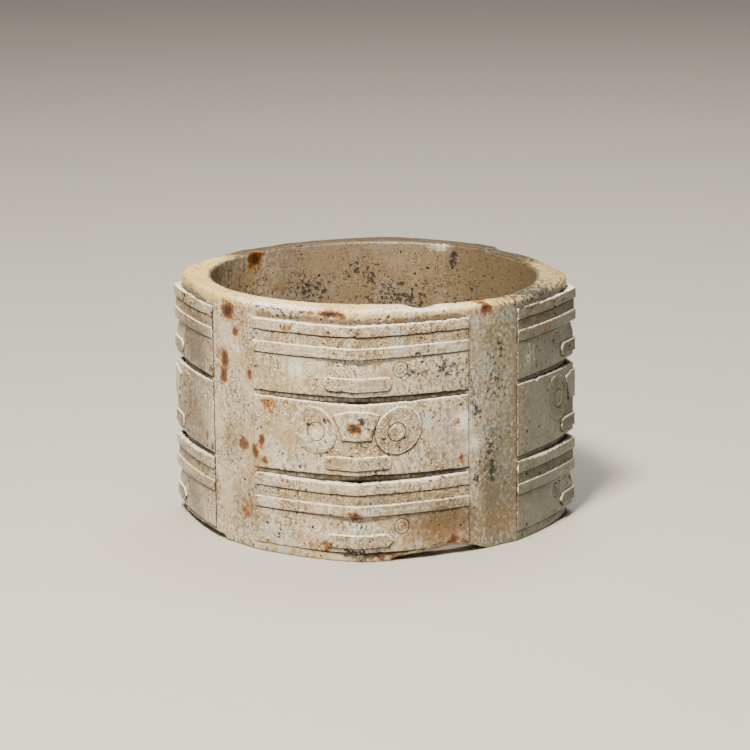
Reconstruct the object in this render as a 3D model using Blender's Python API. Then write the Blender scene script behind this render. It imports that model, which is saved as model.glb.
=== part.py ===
"""A three-tier jade cong, carved from one stone.

A round tube with a wide bore has a low collar at each end and four flat upright channels.
Between the channels stand four corner blocks, each cut into three tiers by two deep grooves.
Tiers one and three carry two bands, a nose bar and two small ring eyes. The middle tier
carries a beast face: two large eyes on raised ovals, a bridge between them and a nose bar.

Units are metres, +Z is up, and the cong stands on its foot at the origin. The channels face
about along X and Y, and the ridges of the blocks point along the diagonals.
"""
import math

import bmesh
import bpy
from mathutils import Matrix, Vector

# Tube
BORE_RADIUS = 0.0330
COLLAR_WALL = 0.0061
CHANNEL_WALL = 0.0039
RIM_ROUND = 0.0010
EDGE_ROUND = 0.0005

# Heights, from the foot up
FOOT_COLLAR = 0.0020
TOP_COLLAR = 0.0030
GROOVE = 0.0016
FIELD = 0.0074
BAND = 0.0022
RECESS = 0.0022

# Corner blocks
RIDGE_RISE = 0.0019
RIDGE_ROUNDING = 0.6
SLOW_POWER = 2
QUICK_POWER = 8
FLAT_OVERRUN = 0.0006
CHANNEL_STEP = 0.0004
CHANNEL_WIDTH = 0.01266
CHANNEL_TURN = math.radians(43.75)
PANEL_BULGE = 0.0008
GROOVE_DRAFT = 0.00025
GROOVE_CLOSE = 0.00030

# How far each surface lies under the bands, at the ridge and at the channel edge
FIELD_INSET = (0.00050, 0.00020)
RECESS_INSET = (0.00035, 0.00020)
FACE_FIELD_INSET = (0.00040, 0.00020)
MASK_INSET = 0.00008
SCOOP = 0.00045
SCOOP_HEIGHT = 0.0030
SCOOP_POWER = 4

# Carving, with heights from the foot of its tier and offsets from the ridge
NOSE_FOOT = 0.00105
NOSE_HEIGHT = 0.00265
NOSE_HALF = 0.0067
NOSE_TAPER = 0.0016
SMALL_EYE_AT = (0.0086, 0.0053)
SMALL_EYE_RADIUS = 0.00140
PUPIL_AT = (0.0079, 0.0083)
PUPIL_RADIUS = 0.00165
RING_WIDTH = 0.00035
PUPIL_RING_DEPTH = 0.00025
SMALL_RING_DEPTH = 0.00020
OVAL_AT = (0.0083, 0.0086)
OVAL_LONG = 0.00500
OVAL_SHORT = 0.00445
OVAL_TILT = math.radians(45)
OVAL_START = math.radians(100)
OVAL_END = math.radians(-135)
BRIDGE_TOP = 0.0129
BRIDGE_SHOULDER = (0.0042, 0.0119)
BRIDGE_WAIST = (0.0035, 0.0092)
BRIDGE_FOOT = (0.0029, 0.0070)

# Damage, by turn from the front ridge, to the right
NOTCH_TURN = math.radians(19.5)
NOTCH_DEPTH = 0.0011
NOTCH_WIDTH = 0.0052
NOTCH_REACH = 0.75
NOTCH_END = 0.02
RIM_WEAR_TURN = math.radians(76)
RIM_WEAR_SPAN = math.radians(61)
RIM_WEAR_DEPTH = 0.0008
FOOT_CHIP_TURN = math.radians(26)
FOOT_CHIP_WIDTH = 0.0205
FOOT_CHIP_HEIGHT = 0.0030
FOOT_CHIP_INNER = 0.0009
LEFT_CHIP_TURN = math.radians(-58)
LEFT_CHIP_WIDTH = 0.0140
LEFT_CHIP_HEIGHT = 0.0016
CHIP_CREST = (0.25, 1.0)
CHIP_SHOULDER = (-0.35, 0.8)
CHIP_LEAST = 0.0001

# Fineness of the solid
TUBE_STEPS = 6
FLAT_STEPS = 2
WEAR_STEPS = 2
PANEL_STEPS = 4
INNER_STEPS = 3
OVAL_SEGMENTS = 10
RING_SEGMENTS = 12
BAR_END_STEPS = 4
WELD = 1e-7
SLIVER = 2e-6
FLAT_ANGLE = math.radians(0.05)
CREASE = math.radians(30)

# Sizes that follow
TUBE_RADIUS = BORE_RADIUS + COLLAR_WALL
CHANNEL_FACE = BORE_RADIUS + CHANNEL_WALL
RIDGE_RADIUS = TUBE_RADIUS + RIDGE_RISE
TIER = FIELD + 2 * BAND + RECESS
HEIGHT = FOOT_COLLAR + 3 * TIER + 2 * GROOVE + TOP_COLLAR
TIER_FEET = [FOOT_COLLAR + level * (TIER + GROOVE) for level in range(3)]
FRONT_RIDGE = math.radians(-45)
CLEAR = 0.005
SIDE_TURN = math.radians(90) - CHANNEL_TURN
BLOCKS = [(0, CHANNEL_TURN), (90, SIDE_TURN), (180, CHANNEL_TURN), (270, SIDE_TURN)]


def clear_scene():
    for item in list(bpy.data.objects):
        bpy.data.objects.remove(item, do_unlink=True)


def new_collection(name):
    collection = bpy.data.collections.new(name)
    bpy.context.scene.collection.children.link(collection)
    return collection


def add_object(name, mesh, collection):
    item = bpy.data.objects.new(name, mesh)
    collection.objects.link(item)
    return item


def add_cutter(name, mesh):
    item = add_object(name, mesh, CUTTERS)
    item.hide_render = True
    item.display_type = 'WIRE'
    return item


def polar(radius, angle):
    return Vector((radius * math.cos(angle), radius * math.sin(angle)))


def combine(item, tool, operation):
    """Join, cut or keep the overlap of two solids, leave the result in item and drop the tool."""
    step = item.modifiers.new(operation.title(), 'BOOLEAN')
    step.operation = operation
    step.solver = 'EXACT'
    step.object = tool
    bpy.context.view_layer.update()
    evaluated = item.evaluated_get(bpy.context.evaluated_depsgraph_get())
    mesh = bpy.data.meshes.new_from_object(evaluated)
    item.modifiers.remove(step)
    item.data = mesh
    bpy.data.objects.remove(tool, do_unlink=True)
    return item


def prism_mesh(name, points, low, high):
    """A flat closed outline in the XY plane, made into a solid from low to high."""
    curve = bpy.data.curves.new(name, 'CURVE')
    curve.dimensions = '2D'
    curve.fill_mode = 'BOTH'
    curve.extrude = (high - low) / 2
    spline = curve.splines.new('POLY')
    spline.points.add(len(points) - 1)
    for place, point in zip(spline.points, points):
        place.co = (point[0], point[1], 0, 1)
    spline.use_cyclic_u = True
    holder = add_object(name, curve, CUTTERS)
    holder.location.z = (high + low) / 2
    bpy.context.view_layer.update()
    evaluated = holder.evaluated_get(bpy.context.evaluated_depsgraph_get())
    mesh = bpy.data.meshes.new_from_object(evaluated)
    mesh.transform(holder.matrix_world)
    bpy.data.objects.remove(holder, do_unlink=True)
    shape = bmesh.new()
    shape.from_mesh(mesh)
    bmesh.ops.remove_doubles(shape, verts=shape.verts, dist=WELD)
    bmesh.ops.recalc_face_normals(shape, faces=shape.faces)
    shape.to_mesh(mesh)
    shape.free()
    return mesh


def loft_mesh(name, rings, endless=False):
    """A closed solid through rings of equally many points.

    It runs from the lowest ring to the highest and is capped there, or runs back into its
    first ring where it is endless.
    """
    mesh = bpy.data.meshes.new(name)
    shape = bmesh.new()
    levels = [[shape.verts.new(point) for point in ring] for ring in rings]
    count = len(levels[0])
    following = levels[1:] + levels[:1] if endless else levels[1:]
    for lower, upper in zip(levels, following):
        for index in range(count):
            after = (index + 1) % count
            shape.faces.new((lower[index], lower[after], upper[after], upper[index]))
    if not endless:
        shape.faces.new(list(reversed(levels[0])))
        shape.faces.new(levels[-1])
    bmesh.ops.remove_doubles(shape, verts=shape.verts, dist=WELD)
    bmesh.ops.dissolve_degenerate(shape, edges=shape.edges, dist=WELD)
    bmesh.ops.connect_verts_nonplanar(shape, faces=shape.faces, angle_limit=FLAT_ANGLE)
    bmesh.ops.recalc_face_normals(shape, faces=shape.faces)
    shape.to_mesh(mesh)
    shape.free()
    return mesh


def panel_point(turn, share, depth):
    """A point of a block's panel, in plan, with the ridge on +X and the channel's middle at turn.

    share runs from 0 at the ridge to 1 at the channel edge, and depth is measured inwards.
    """
    normal = polar(1, turn)
    along = Vector((-normal.y, normal.x))
    ridge = Vector((RIDGE_RADIUS, 0))
    edge = normal * (CHANNEL_FACE + CHANNEL_STEP) - along * (CHANNEL_WIDTH / 2)
    chord = edge - ridge
    outward = Vector((chord.y, -chord.x)).normalized()
    bulge = 4 * PANEL_BULGE * share * (1 - share)
    return ridge + chord * share + outward * bulge - polar(depth, turn * share)


def tube_half(turn):
    """The tube's outline under half a block, from the ridge on +X towards the channel at turn.

    It follows the panel at a little depth, more at the ridge, where the tube is round.
    """
    rise = RIDGE_RISE - CHANNEL_STEP
    half = []
    for index in range(TUBE_STEPS):
        share = index / TUBE_STEPS
        slow = rise * (1 - RIDGE_ROUNDING) * (1 - share) ** SLOW_POWER
        quick = rise * RIDGE_ROUNDING * (1 - share) ** QUICK_POWER
        half.append(panel_point(turn, share, CHANNEL_STEP + slow + quick))
    return half


def tube_outline():
    """The outer outline of the tube: four soft corners and four flat channel floors."""
    outline = []
    for degrees, turn in BLOCKS:
        half = tube_half(turn)
        points = [Vector((point.x, -point.y)) for point in reversed(half[1:])] + half
        normal = polar(1, turn)
        along = Vector((-normal.y, normal.x))
        reach = CHANNEL_WIDTH / 2 + FLAT_OVERRUN
        for index in range(FLAT_STEPS + 1):
            aside = reach * (2 * index / FLAT_STEPS - 1)
            points.append(normal * CHANNEL_FACE + along * aside)
        place = Matrix.Rotation(FRONT_RIDGE + math.radians(degrees), 2)
        outline += [place @ point for point in points]
    return outline


def wall_section(outer_point):
    """The upright cut through the wall at one outline point, its four long edges worn round."""
    outer = outer_point.length
    angle = math.atan2(outer_point.y, outer_point.x)
    corners = [(outer, 0, -1, 1, EDGE_ROUND), (outer, HEIGHT, -1, -1, RIM_ROUND),
               (BORE_RADIUS, HEIGHT, 1, -1, EDGE_ROUND), (BORE_RADIUS, 0, 1, 1, EDGE_ROUND)]
    section = []
    for number, (radius, height, inward, upward, rounding) in enumerate(corners):
        worn = []
        for step in range(WEAR_STEPS + 1):
            turn = math.pi / 2 * step / WEAR_STEPS
            back = rounding * (1 - math.sin(turn))
            lift = rounding * (1 - math.cos(turn))
            place = polar(radius + inward * back, angle)
            worn.append((place.x, place.y, height + upward * lift))
        section += worn if number % 2 == 0 else reversed(worn)
    return section


def make_tube():
    """The tube with both collars and its bore, and its rim and foot edges worn round."""
    mesh = loft_mesh("tube", [wall_section(point) for point in tube_outline()], endless=True)
    return add_object("tube", mesh, PARTS)


def block_ring(turn, height, insets, scoop=0.0, close=0.0):
    """One level outline of a block whose ridge lies on +X and whose channels lie at +-turn.

    insets are the depths under the bands at the ridge and at the channel edge. scoop hollows
    the ridge alone, and close lifts the channel end of the outline.
    """
    half = []
    for index in range(PANEL_STEPS + 1):
        share = index / PANEL_STEPS
        depth = insets[0] * (1 - share) + insets[1] * share + scoop * (1 - share) ** SCOOP_POWER
        point = panel_point(turn, share, depth)
        half.append((point.x, point.y, height + close * share))
    normal = polar(1, turn)
    along = Vector((-normal.y, normal.x))
    inner = normal * (BORE_RADIUS + CHANNEL_WALL / 2) - along * (CHANNEL_WIDTH / 2)
    reach = inner.angle_signed(Vector((1, 0)))
    back = []
    for index in range(INNER_STEPS + 1):
        place = polar(inner.length, reach * (1 - 2 * index / INNER_STEPS))
        back.append((place.x, place.y, height))
    mirrored = [(x, -y, z) for x, y, z in reversed(half[1:])]
    return half + back + mirrored


def tier_levels(foot, faced):
    """Heights and depths of one tier, from its foot up; the middle tier is a plain field."""
    if faced:
        return [(foot, FACE_FIELD_INSET, 0), (foot + TIER, FACE_FIELD_INSET, 0)]
    field = foot + FIELD
    return [(foot, FIELD_INSET, 0),
            (field - SCOOP_HEIGHT, FIELD_INSET, 0),
            (field - SCOOP_HEIGHT / 2, FIELD_INSET, SCOOP / 2),
            (field, FIELD_INSET, SCOOP),
            (field, (0, 0), 0),
            (field + BAND, (0, 0), 0),
            (field + BAND, RECESS_INSET, 0),
            (field + BAND + RECESS, RECESS_INSET, 0),
            (field + BAND + RECESS, (0, 0), 0),
            (foot + TIER, (0, 0), 0)]


def make_block(turn):
    """The plain block with its bands and grooves, its ridge on +X."""
    buried = (RIDGE_RISE + GROOVE / 2, CHANNEL_STEP + GROOVE / 2)
    rings = []
    for level, foot in enumerate(TIER_FEET):
        tier = tier_levels(foot, faced=level == 1)
        for index, (height, insets, scoop) in enumerate(tier):
            close = 0
            if index == 0 and level > 0:
                close = -GROOVE_CLOSE
            if index == len(tier) - 1 and level < 2:
                close = GROOVE_CLOSE
            rings.append(block_ring(turn, height, insets, scoop, close))
        if level < 2:
            top = foot + TIER
            rings.append(block_ring(turn, top + GROOVE_DRAFT, buried, close=GROOVE_CLOSE))
            rings.append(block_ring(turn, top + GROOVE - GROOVE_DRAFT, buried, close=-GROOVE_CLOSE))
    return add_object("block", loft_mesh("block", rings), PARTS)


def level_solid(turn, inset, low, high):
    """A piece of the block down from the surface that lies inset under the bands."""
    insets = (inset, inset)
    rings = [block_ring(turn, low, insets), block_ring(turn, high, insets)]
    return add_cutter("level", loft_mesh("level", rings))


def carving_prism(points, foot, spare=0.0):
    """An outline of offsets and heights, driven through the block along its ridge direction."""
    near = BORE_RADIUS + CHANNEL_WALL / 2 - spare
    mesh = prism_mesh("carving", points, near, RIDGE_RADIUS + CLEAR + spare)
    upright = Matrix(((0, 0, 1, 0), (1, 0, 0, 0), (0, 1, 0, foot), (0, 0, 0, 1)))
    mesh.transform(upright)
    return add_cutter("carving", mesh)


def raise_shape(block, turn, points, foot, inset):
    """Raise an outline on the block, up to the level that lies inset under the bands."""
    shape = combine(carving_prism(points, foot), level_solid(turn, inset, foot - CLEAR,
                                                             foot + TIER + CLEAR), 'INTERSECT')
    combine(block, shape, 'UNION')


def cut_ring(block, turn, centre, radius, foot, inset):
    """Cut a ring line down to the level that lies inset under the bands."""
    tool = carving_prism(circle_points(centre, radius + RING_WIDTH / 2), foot)
    core = carving_prism(circle_points(centre, radius - RING_WIDTH / 2), foot, CLEAR)
    combine(tool, core, 'DIFFERENCE')
    combine(tool, level_solid(turn, inset, foot - CLEAR, foot + TIER + CLEAR), 'DIFFERENCE')
    combine(block, tool, 'DIFFERENCE')


def circle_points(centre, radius):
    turns = [2 * math.pi * index / RING_SEGMENTS for index in range(RING_SEGMENTS)]
    return [Vector(centre) + polar(radius, turn) for turn in turns]


def mask_half():
    """The right half of the mask: round the large eye, from the bridge over the top to its foot.

    The eye's egg leans outwards at its top.
    """
    half = []
    for index in range(OVAL_SEGMENTS + 1):
        turn = OVAL_START + (OVAL_END - OVAL_START) * index / OVAL_SEGMENTS
        long_part = OVAL_LONG * math.cos(turn)
        short_part = OVAL_SHORT * math.sin(turn)
        across = long_part * math.cos(OVAL_TILT) - short_part * math.sin(OVAL_TILT)
        upward = long_part * math.sin(OVAL_TILT) + short_part * math.cos(OVAL_TILT)
        half.append((OVAL_AT[0] + across, OVAL_AT[1] + upward))
    return half


def mask_points():
    """Both eye ovals and the low area between them, as one outline."""
    right = mask_half()
    left = [(-across, height) for across, height in reversed(right)]
    return right + left


def bridge_points():
    """The fan between the eyes: an arched top, a waist and a straight foot."""
    right = [BRIDGE_FOOT, BRIDGE_WAIST, BRIDGE_SHOULDER]
    left = [(-across, height) for across, height in reversed(right)]
    return right + [(0, BRIDGE_TOP)] + left


def bar_points(tapered):
    """The nose bar: round ends, or ends that taper to a blunt point."""
    middle = NOSE_FOOT + NOSE_HEIGHT / 2
    half_height = NOSE_HEIGHT / 2
    if tapered:
        shoulder = NOSE_HALF - NOSE_TAPER
        right = [(shoulder, NOSE_FOOT), (NOSE_HALF, middle), (shoulder, NOSE_FOOT + NOSE_HEIGHT)]
    else:
        right = []
        for index in range(BAR_END_STEPS + 1):
            turn = math.pi * (index / BAR_END_STEPS - 0.5)
            across = NOSE_HALF - half_height + half_height * math.cos(turn)
            right.append((across, middle + half_height * math.sin(turn)))
    left = [(-across, height) for across, height in reversed(right)]
    return right + left


def carve_tier(block, turn, level):
    """Nose bar and eyes of one tier; the middle tier has the whole beast face."""
    foot = TIER_FEET[level]
    if level == 1:
        raise_shape(block, turn, mask_points(), foot, MASK_INSET)
        raise_shape(block, turn, bridge_points(), foot, 0)
        for side in (-1, 1):
            centre = (side * PUPIL_AT[0], PUPIL_AT[1])
            cut_ring(block, turn, centre, PUPIL_RADIUS, foot, MASK_INSET + PUPIL_RING_DEPTH)
    else:
        field_depth = sum(FIELD_INSET) / 2
        for side in (-1, 1):
            centre = (side * SMALL_EYE_AT[0], SMALL_EYE_AT[1])
            cut_ring(block, turn, centre, SMALL_EYE_RADIUS, foot, field_depth + SMALL_RING_DEPTH)
    raise_shape(block, turn, bar_points(tapered=level == 0), foot, 0)


def make_carved_block(turn):
    block = make_block(turn)
    for level in range(3):
        carve_tier(block, turn, level)
    return block


def rim_notch():
    """A V-shaped chip in the bore's upper edge, deepest at the bore and running out on the rim."""
    half = NOTCH_WIDTH / 2
    reach = COLLAR_WALL * NOTCH_REACH
    rings = []
    ends = ((BORE_RADIUS - CLEAR, 1 + CLEAR / reach), (BORE_RADIUS + reach, NOTCH_END))
    for radius, share in ends:
        width = half * share
        drop = NOTCH_DEPTH * share
        rings.append([(radius, -width, HEIGHT + CLEAR), (radius, -width, HEIGHT),
                      (radius, 0, HEIGHT - drop), (radius, width, HEIGHT),
                      (radius, width, HEIGHT + CLEAR)])
    mesh = loft_mesh("rim notch", rings)
    mesh.transform(Matrix.Rotation(FRONT_RIDGE + NOTCH_TURN, 4, 'Z'))
    return add_cutter("rim notch", mesh)


def rim_wear():
    """A slab with a leaning underside, which takes the rim down over the right-hand half."""
    mean = BORE_RADIUS + COLLAR_WALL / 2
    lean = RIM_WEAR_DEPTH / (mean * (1 - math.cos(RIM_WEAR_SPAN)))
    start = mean * math.cos(RIM_WEAR_SPAN)
    far = RIDGE_RADIUS + CLEAR
    wide = RIDGE_RADIUS + CLEAR
    lid = HEIGHT + CLEAR
    section = [(start, HEIGHT), (far, HEIGHT - lean * (far - start)), (far, lid), (start, lid)]
    rings = [[(x, side, z) for x, z in section] for side in (-wide, wide)]
    mesh = loft_mesh("rim wear", rings)
    mesh.transform(Matrix.Rotation(FRONT_RIDGE + RIM_WEAR_TURN, 4, 'Z'))
    return add_cutter("rim wear", mesh)


def foot_chip(name, turn, width, outer_height, inner_height):
    """A break along the foot: a low wedge through the wall, highest on the outside."""
    half = width / 2
    rings = []
    inner = BORE_RADIUS - CLEAR
    outer = RIDGE_RADIUS + CLEAR
    slope = (outer_height - inner_height) / (TUBE_RADIUS - BORE_RADIUS)
    for radius in (inner, outer):
        rise = max(inner_height + slope * (radius - BORE_RADIUS), CHIP_LEAST)
        roof = [(radius, half * aside, rise * share) for aside, share in (CHIP_CREST, CHIP_SHOULDER)]
        rings.append([(radius, -half, -CLEAR), (radius, half, -CLEAR), (radius, half, 0)]
                     + roof + [(radius, -half, 0)])
    mesh = loft_mesh(name, rings)
    mesh.transform(Matrix.Rotation(FRONT_RIDGE + turn, 4, 'Z'))
    return add_cutter(name, mesh)


def make_material():
    """Altered nephrite: a chalky, greyish cream stone with a faint polish."""
    material = bpy.data.materials.new("altered_nephrite")
    material.use_nodes = True
    shader = material.node_tree.nodes["Principled BSDF"]
    shader.inputs["Base Color"].default_value = (0.52, 0.45, 0.35, 1)
    shader.inputs["Roughness"].default_value = 0.5
    shader.inputs["Metallic"].default_value = 0
    return material


def finish(item):
    """Drop the needless edges that the joins leave, part the faces into triangles and shade them."""
    shape = bmesh.new()
    shape.from_mesh(item.data)
    bmesh.ops.remove_doubles(shape, verts=shape.verts, dist=SLIVER)
    bmesh.ops.dissolve_limit(shape, angle_limit=FLAT_ANGLE, verts=shape.verts,
                             edges=shape.edges)
    bmesh.ops.dissolve_degenerate(shape, edges=shape.edges, dist=SLIVER)
    bmesh.ops.triangulate(shape, faces=shape.faces, ngon_method='BEAUTY')
    bmesh.ops.dissolve_degenerate(shape, edges=shape.edges, dist=SLIVER)
    bmesh.ops.triangulate(shape, faces=shape.faces)
    shape.to_mesh(item.data)
    shape.free()
    item.data.materials.clear()
    item.data.materials.append(make_material())
    item.data.shade_smooth()
    item.data.set_sharp_from_angle(angle=CREASE)


clear_scene()
PARTS = new_collection("jade cong")
CUTTERS = new_collection("cutters")

cong = make_tube()
carved = {turn: make_carved_block(turn) for turn in (CHANNEL_TURN, SIDE_TURN)}
for degrees, turn in BLOCKS:
    copy = add_cutter("block copy", carved[turn].data.copy())
    copy.data.transform(Matrix.Rotation(FRONT_RIDGE + math.radians(degrees), 4, 'Z'))
    combine(cong, copy, 'UNION')
for block in carved.values():
    bpy.data.objects.remove(block, do_unlink=True)
combine(cong, rim_wear(), 'DIFFERENCE')
combine(cong, rim_notch(), 'DIFFERENCE')
combine(cong, foot_chip("front foot chip", FOOT_CHIP_TURN, FOOT_CHIP_WIDTH,
                        FOOT_CHIP_HEIGHT, FOOT_CHIP_INNER), 'DIFFERENCE')
combine(cong, foot_chip("left foot chip", LEFT_CHIP_TURN, LEFT_CHIP_WIDTH,
                        LEFT_CHIP_HEIGHT, LEFT_CHIP_HEIGHT / 2), 'DIFFERENCE')
cong.name = "jade_cong"
cong.data.name = "jade_cong"
finish(cong)
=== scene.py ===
# %% [markdown]
# # A jade cong in three tiers
# A cong is a squared tube of nephrite, carved from one stone. This lesson dresses the measured
# solid of one: it draws the carving flat, wraps it round the four corners, adds the tube's
# rim, bore and foot, and then lets the stone age. The frame is loaded first, and its box says
# how large the finished piece may be.

# %% Load the measured solid
import math

import bmesh
import bpy
import numpy as np
from mathutils import Matrix, Vector, geometry, kdtree, noise


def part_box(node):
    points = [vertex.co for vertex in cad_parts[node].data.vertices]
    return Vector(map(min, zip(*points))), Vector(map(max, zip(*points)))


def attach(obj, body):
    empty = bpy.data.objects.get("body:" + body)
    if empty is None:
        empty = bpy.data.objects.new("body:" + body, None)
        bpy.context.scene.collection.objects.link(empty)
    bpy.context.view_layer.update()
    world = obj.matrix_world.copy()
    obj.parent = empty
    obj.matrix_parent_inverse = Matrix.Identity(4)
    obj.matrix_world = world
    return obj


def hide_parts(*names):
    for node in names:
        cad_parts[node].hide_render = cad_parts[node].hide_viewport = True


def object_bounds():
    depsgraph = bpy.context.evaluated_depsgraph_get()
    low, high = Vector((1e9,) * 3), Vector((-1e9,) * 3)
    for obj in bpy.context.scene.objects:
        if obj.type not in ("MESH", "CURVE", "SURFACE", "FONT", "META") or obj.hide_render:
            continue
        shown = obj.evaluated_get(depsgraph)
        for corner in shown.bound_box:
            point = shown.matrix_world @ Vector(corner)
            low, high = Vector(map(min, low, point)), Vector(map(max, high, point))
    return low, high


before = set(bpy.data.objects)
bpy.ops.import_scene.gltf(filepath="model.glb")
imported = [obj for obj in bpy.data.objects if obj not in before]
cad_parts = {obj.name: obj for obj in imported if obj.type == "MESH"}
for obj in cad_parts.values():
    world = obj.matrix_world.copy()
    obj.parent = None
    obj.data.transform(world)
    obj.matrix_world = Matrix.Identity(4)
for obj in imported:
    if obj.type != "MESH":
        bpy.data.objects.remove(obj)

MM = 0.001
CAD_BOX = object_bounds()
node_low, node_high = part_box("jade_cong")
HEIGHT = round(node_high.z / MM, 3)
print("the solid is", [round(side / MM, 1) for side in node_high - node_low], "mm")

# %% [markdown]
# ## The sizes
# All carving sizes are in millimetres, as a jade worker would think of them. A tier is a field,
# a band, a recess and a second band, and deep grooves part the tiers. The plan of one corner is
# two shallow panels that meet in a ridge, and each panel ends at a flat upright channel. What
# can be worked out from other sizes is worked out here.

# %% Sizes of the tube, the corners and the tiers
BORE_RADIUS = 33.0
COLLAR_WALL = 6.1
CHANNEL_WALL = 3.9
RIDGE_RISE = 1.9
CHANNEL_STEP = 0.4
CHANNEL_WIDTH = 12.66
PANEL_BULGE = 0.8
FRONT_TURN = math.radians(43.75)
SIDE_TURN = math.radians(90) - FRONT_TURN
FRONT_RIDGE = math.radians(-45)

FOOT_COLLAR = 2.0
GROOVE = 1.6
FIELD = 7.4
BAND = 2.2
RECESS = 2.2
TIER = FIELD + 2 * BAND + RECESS
TIER_FEET = [FOOT_COLLAR + level * (TIER + GROOVE) for level in range(3)]
BLOCK_TOP = TIER_FEET[2] + TIER
RIM_ROUND = 1.0
EDGE_ROUND = 0.5

COLLAR_RADIUS = BORE_RADIUS + COLLAR_WALL
RIDGE_RADIUS = COLLAR_RADIUS + RIDGE_RISE
CHANNEL_FACE = BORE_RADIUS + CHANNEL_WALL


def panel_length(turn):
    """From the ridge to the channel edge, for a corner whose channel lies at that turn."""
    reach = CHANNEL_FACE + CHANNEL_STEP
    across = math.cos(turn) * reach + math.sin(turn) * CHANNEL_WIDTH / 2 - RIDGE_RADIUS
    along = math.sin(turn) * reach - math.cos(turn) * CHANNEL_WIDTH / 2
    return math.hypot(across, along)


print("tiers stand at", TIER_FEET, "and the blocks end at", round(BLOCK_TOP, 2), "of", HEIGHT)
print("panels are", round(panel_length(FRONT_TURN), 2), "mm wide")

# %% [markdown]
# ## Drawing forms by their distance
# Every raised form on a tier is an outline on the flat panel. The distance from a point to that
# outline, less than nothing inside, says how deep the stone is cut there: flat on top, a small
# worn shoulder, then a steep wall. The same outlines give the lines that the mesh must follow,
# so that no carved edge is ragged.

# %% Outlines
SHOULDER = 0.22
WALL = 0.08
SHADE = 0.34
EDGE_LINES = (-SHOULDER, -0.35 * SHOULDER, 0.0, WALL, SHADE)


def ring(centre, radii, lean=0.0, start=0.0, end=math.tau, count=28):
    """Points round an ellipse that leans by an angle."""
    full = abs(end - start - math.tau) < 1e-6
    turns = [start + (end - start) * index / (count if full else count - 1)
             for index in range(count)]
    points = []
    for turn in turns:
        across = radii[0] * math.cos(turn)
        upward = radii[1] * math.sin(turn)
        points.append((centre[0] + across * math.cos(lean) - upward * math.sin(lean),
                       centre[1] + across * math.sin(lean) + upward * math.cos(lean)))
    return points


def bar(half, foot, height, corner, taper=0.0):
    """A level bar about the ridge, with round corners, or with ends that taper to a point."""
    if taper:
        middle = foot + height / 2
        right = [(half - taper, foot), (half, middle), (half - taper, foot + height)]
    else:
        right = ring((half - corner, foot + corner), (corner, corner),
                     start=-math.pi / 2, end=0, count=6)
        right += ring((half - corner, foot + height - corner), (corner, corner),
                      start=0, end=math.pi / 2, count=6)
    return right + [(-across, height) for across, height in reversed(right)]


def even_steps(points, spacing, closed=True):
    """The outline with a point about every spacing, its own corners kept."""
    ends = points[1:] + points[:1] if closed else points[1:]
    stepped = []
    for start, end in zip(points, ends):
        count = max(1, round(math.dist(start, end) / spacing))
        for index in range(count):
            share = index / count
            stepped.append((start[0] + (end[0] - start[0]) * share,
                            start[1] + (end[1] - start[1]) * share))
    if not closed:
        stepped.append(points[-1])
    return stepped


def grown(points, amount):
    """A counter-clockwise outline moved outwards by an amount."""
    moved = []
    for before, here, after in zip(points[-1:] + points[:-1], points, points[1:] + points[:1]):
        along = Vector((after[0] - before[0], after[1] - before[1]))
        along.normalize()
        moved.append((here[0] + along.y * amount, here[1] - along.x * amount))
    return moved


print("edge lines lie at", EDGE_LINES, "mm from an outline")

# %% [markdown]
# ## Measuring with arrays
# The carving asks the same question of some twenty thousand places on each corner, so distances
# and easy slopes are worked out for whole arrays at once. The slow noise comes from Blender's
# own noise module, which has no array form and is asked place by place.

# %% Distances, slopes and slow noise


def distance_to(points, x, z):
    """Signed distance from many places to one closed outline, below zero inside it."""
    nearest = np.full(len(x), 1e9)
    inside = np.zeros(len(x), bool)
    for (ax, az), (bx, bz) in zip(points, points[1:] + points[:1]):
        ex, ez = bx - ax, bz - az
        share = np.clip(((x - ax) * ex + (z - az) * ez) / (ex * ex + ez * ez), 0, 1)
        nearest = np.minimum(nearest, np.hypot(x - ax - ex * share, z - az - ez * share))
        crosses = (az > z) != (bz > z)
        inside ^= crosses & (x < ax + ex * (z - az) / (ez if ez else 1e-9))
    return np.where(inside, -nearest, nearest)


def outline_of(points):
    """The outline as a measure: a function from places to distances."""
    return lambda x, z: distance_to(points, x, z)


def smooth(value, low, high):
    """0 below low, 1 above high and an easy slope between them."""
    share = np.clip((value - low) / (high - low), 0, 1)
    return share * share * (3 - 2 * share)


def wobble(x, z, seed, length):
    """Slow noise between -1 and 1 over a sheet."""
    return np.array([noise.noise(Vector((across / length, height / length, seed)))
                     for across, height in zip(x, z)])


print("half-way up a slope from 0 to 2:", smooth(1.0, 0.0, 2.0))

# %% [markdown]
# ## The forms on each tier
# The top and bottom tiers carry a nose bar and two small ring eyes. The middle tier has the full
# beast face: two egg-shaped eyes that lean outwards, a fan-shaped bridge between them and the
# nose bar. The ends of the nose bars differ from tier to tier, because each was cut by eye:
# pointed at the foot, square with soft corners in the middle, round at the top.

# %% Forms of the tiers
NOSE_FOOT = 1.05
NOSE_HEIGHT = 2.65
NOSE_SUNK = (0.34, 0.52)
NOSES = [bar(7.3, NOSE_FOOT, NOSE_HEIGHT, 0, taper=1.3),
         bar(6.85, NOSE_FOOT, NOSE_HEIGHT, 0.85),
         bar(7.1, NOSE_FOOT, NOSE_HEIGHT, 1.32)]
SMALL_EYE_RISE = 4.9
SMALL_EYE_RINGS = [(1.52, 0.36, 0.24), (0.80, 0.28, 0.18), (0.20, 0.30, 0.14)]
PUPIL_RISE = 8.3
PUPIL_RINGS = [(1.85, 0.34, 0.26), (0.62, 0.24, 0.12), (0.16, 0.22, 0.10)]
PUPIL_DISC = 1.68
EGG_SHIFT = (0.4, 0.3)
EGG_RADII = (5.0, 4.45)
EGG_LEAN = math.radians(45)
EGG_LIP = 0.42
LOW_SHOULDER = 0.16
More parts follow.
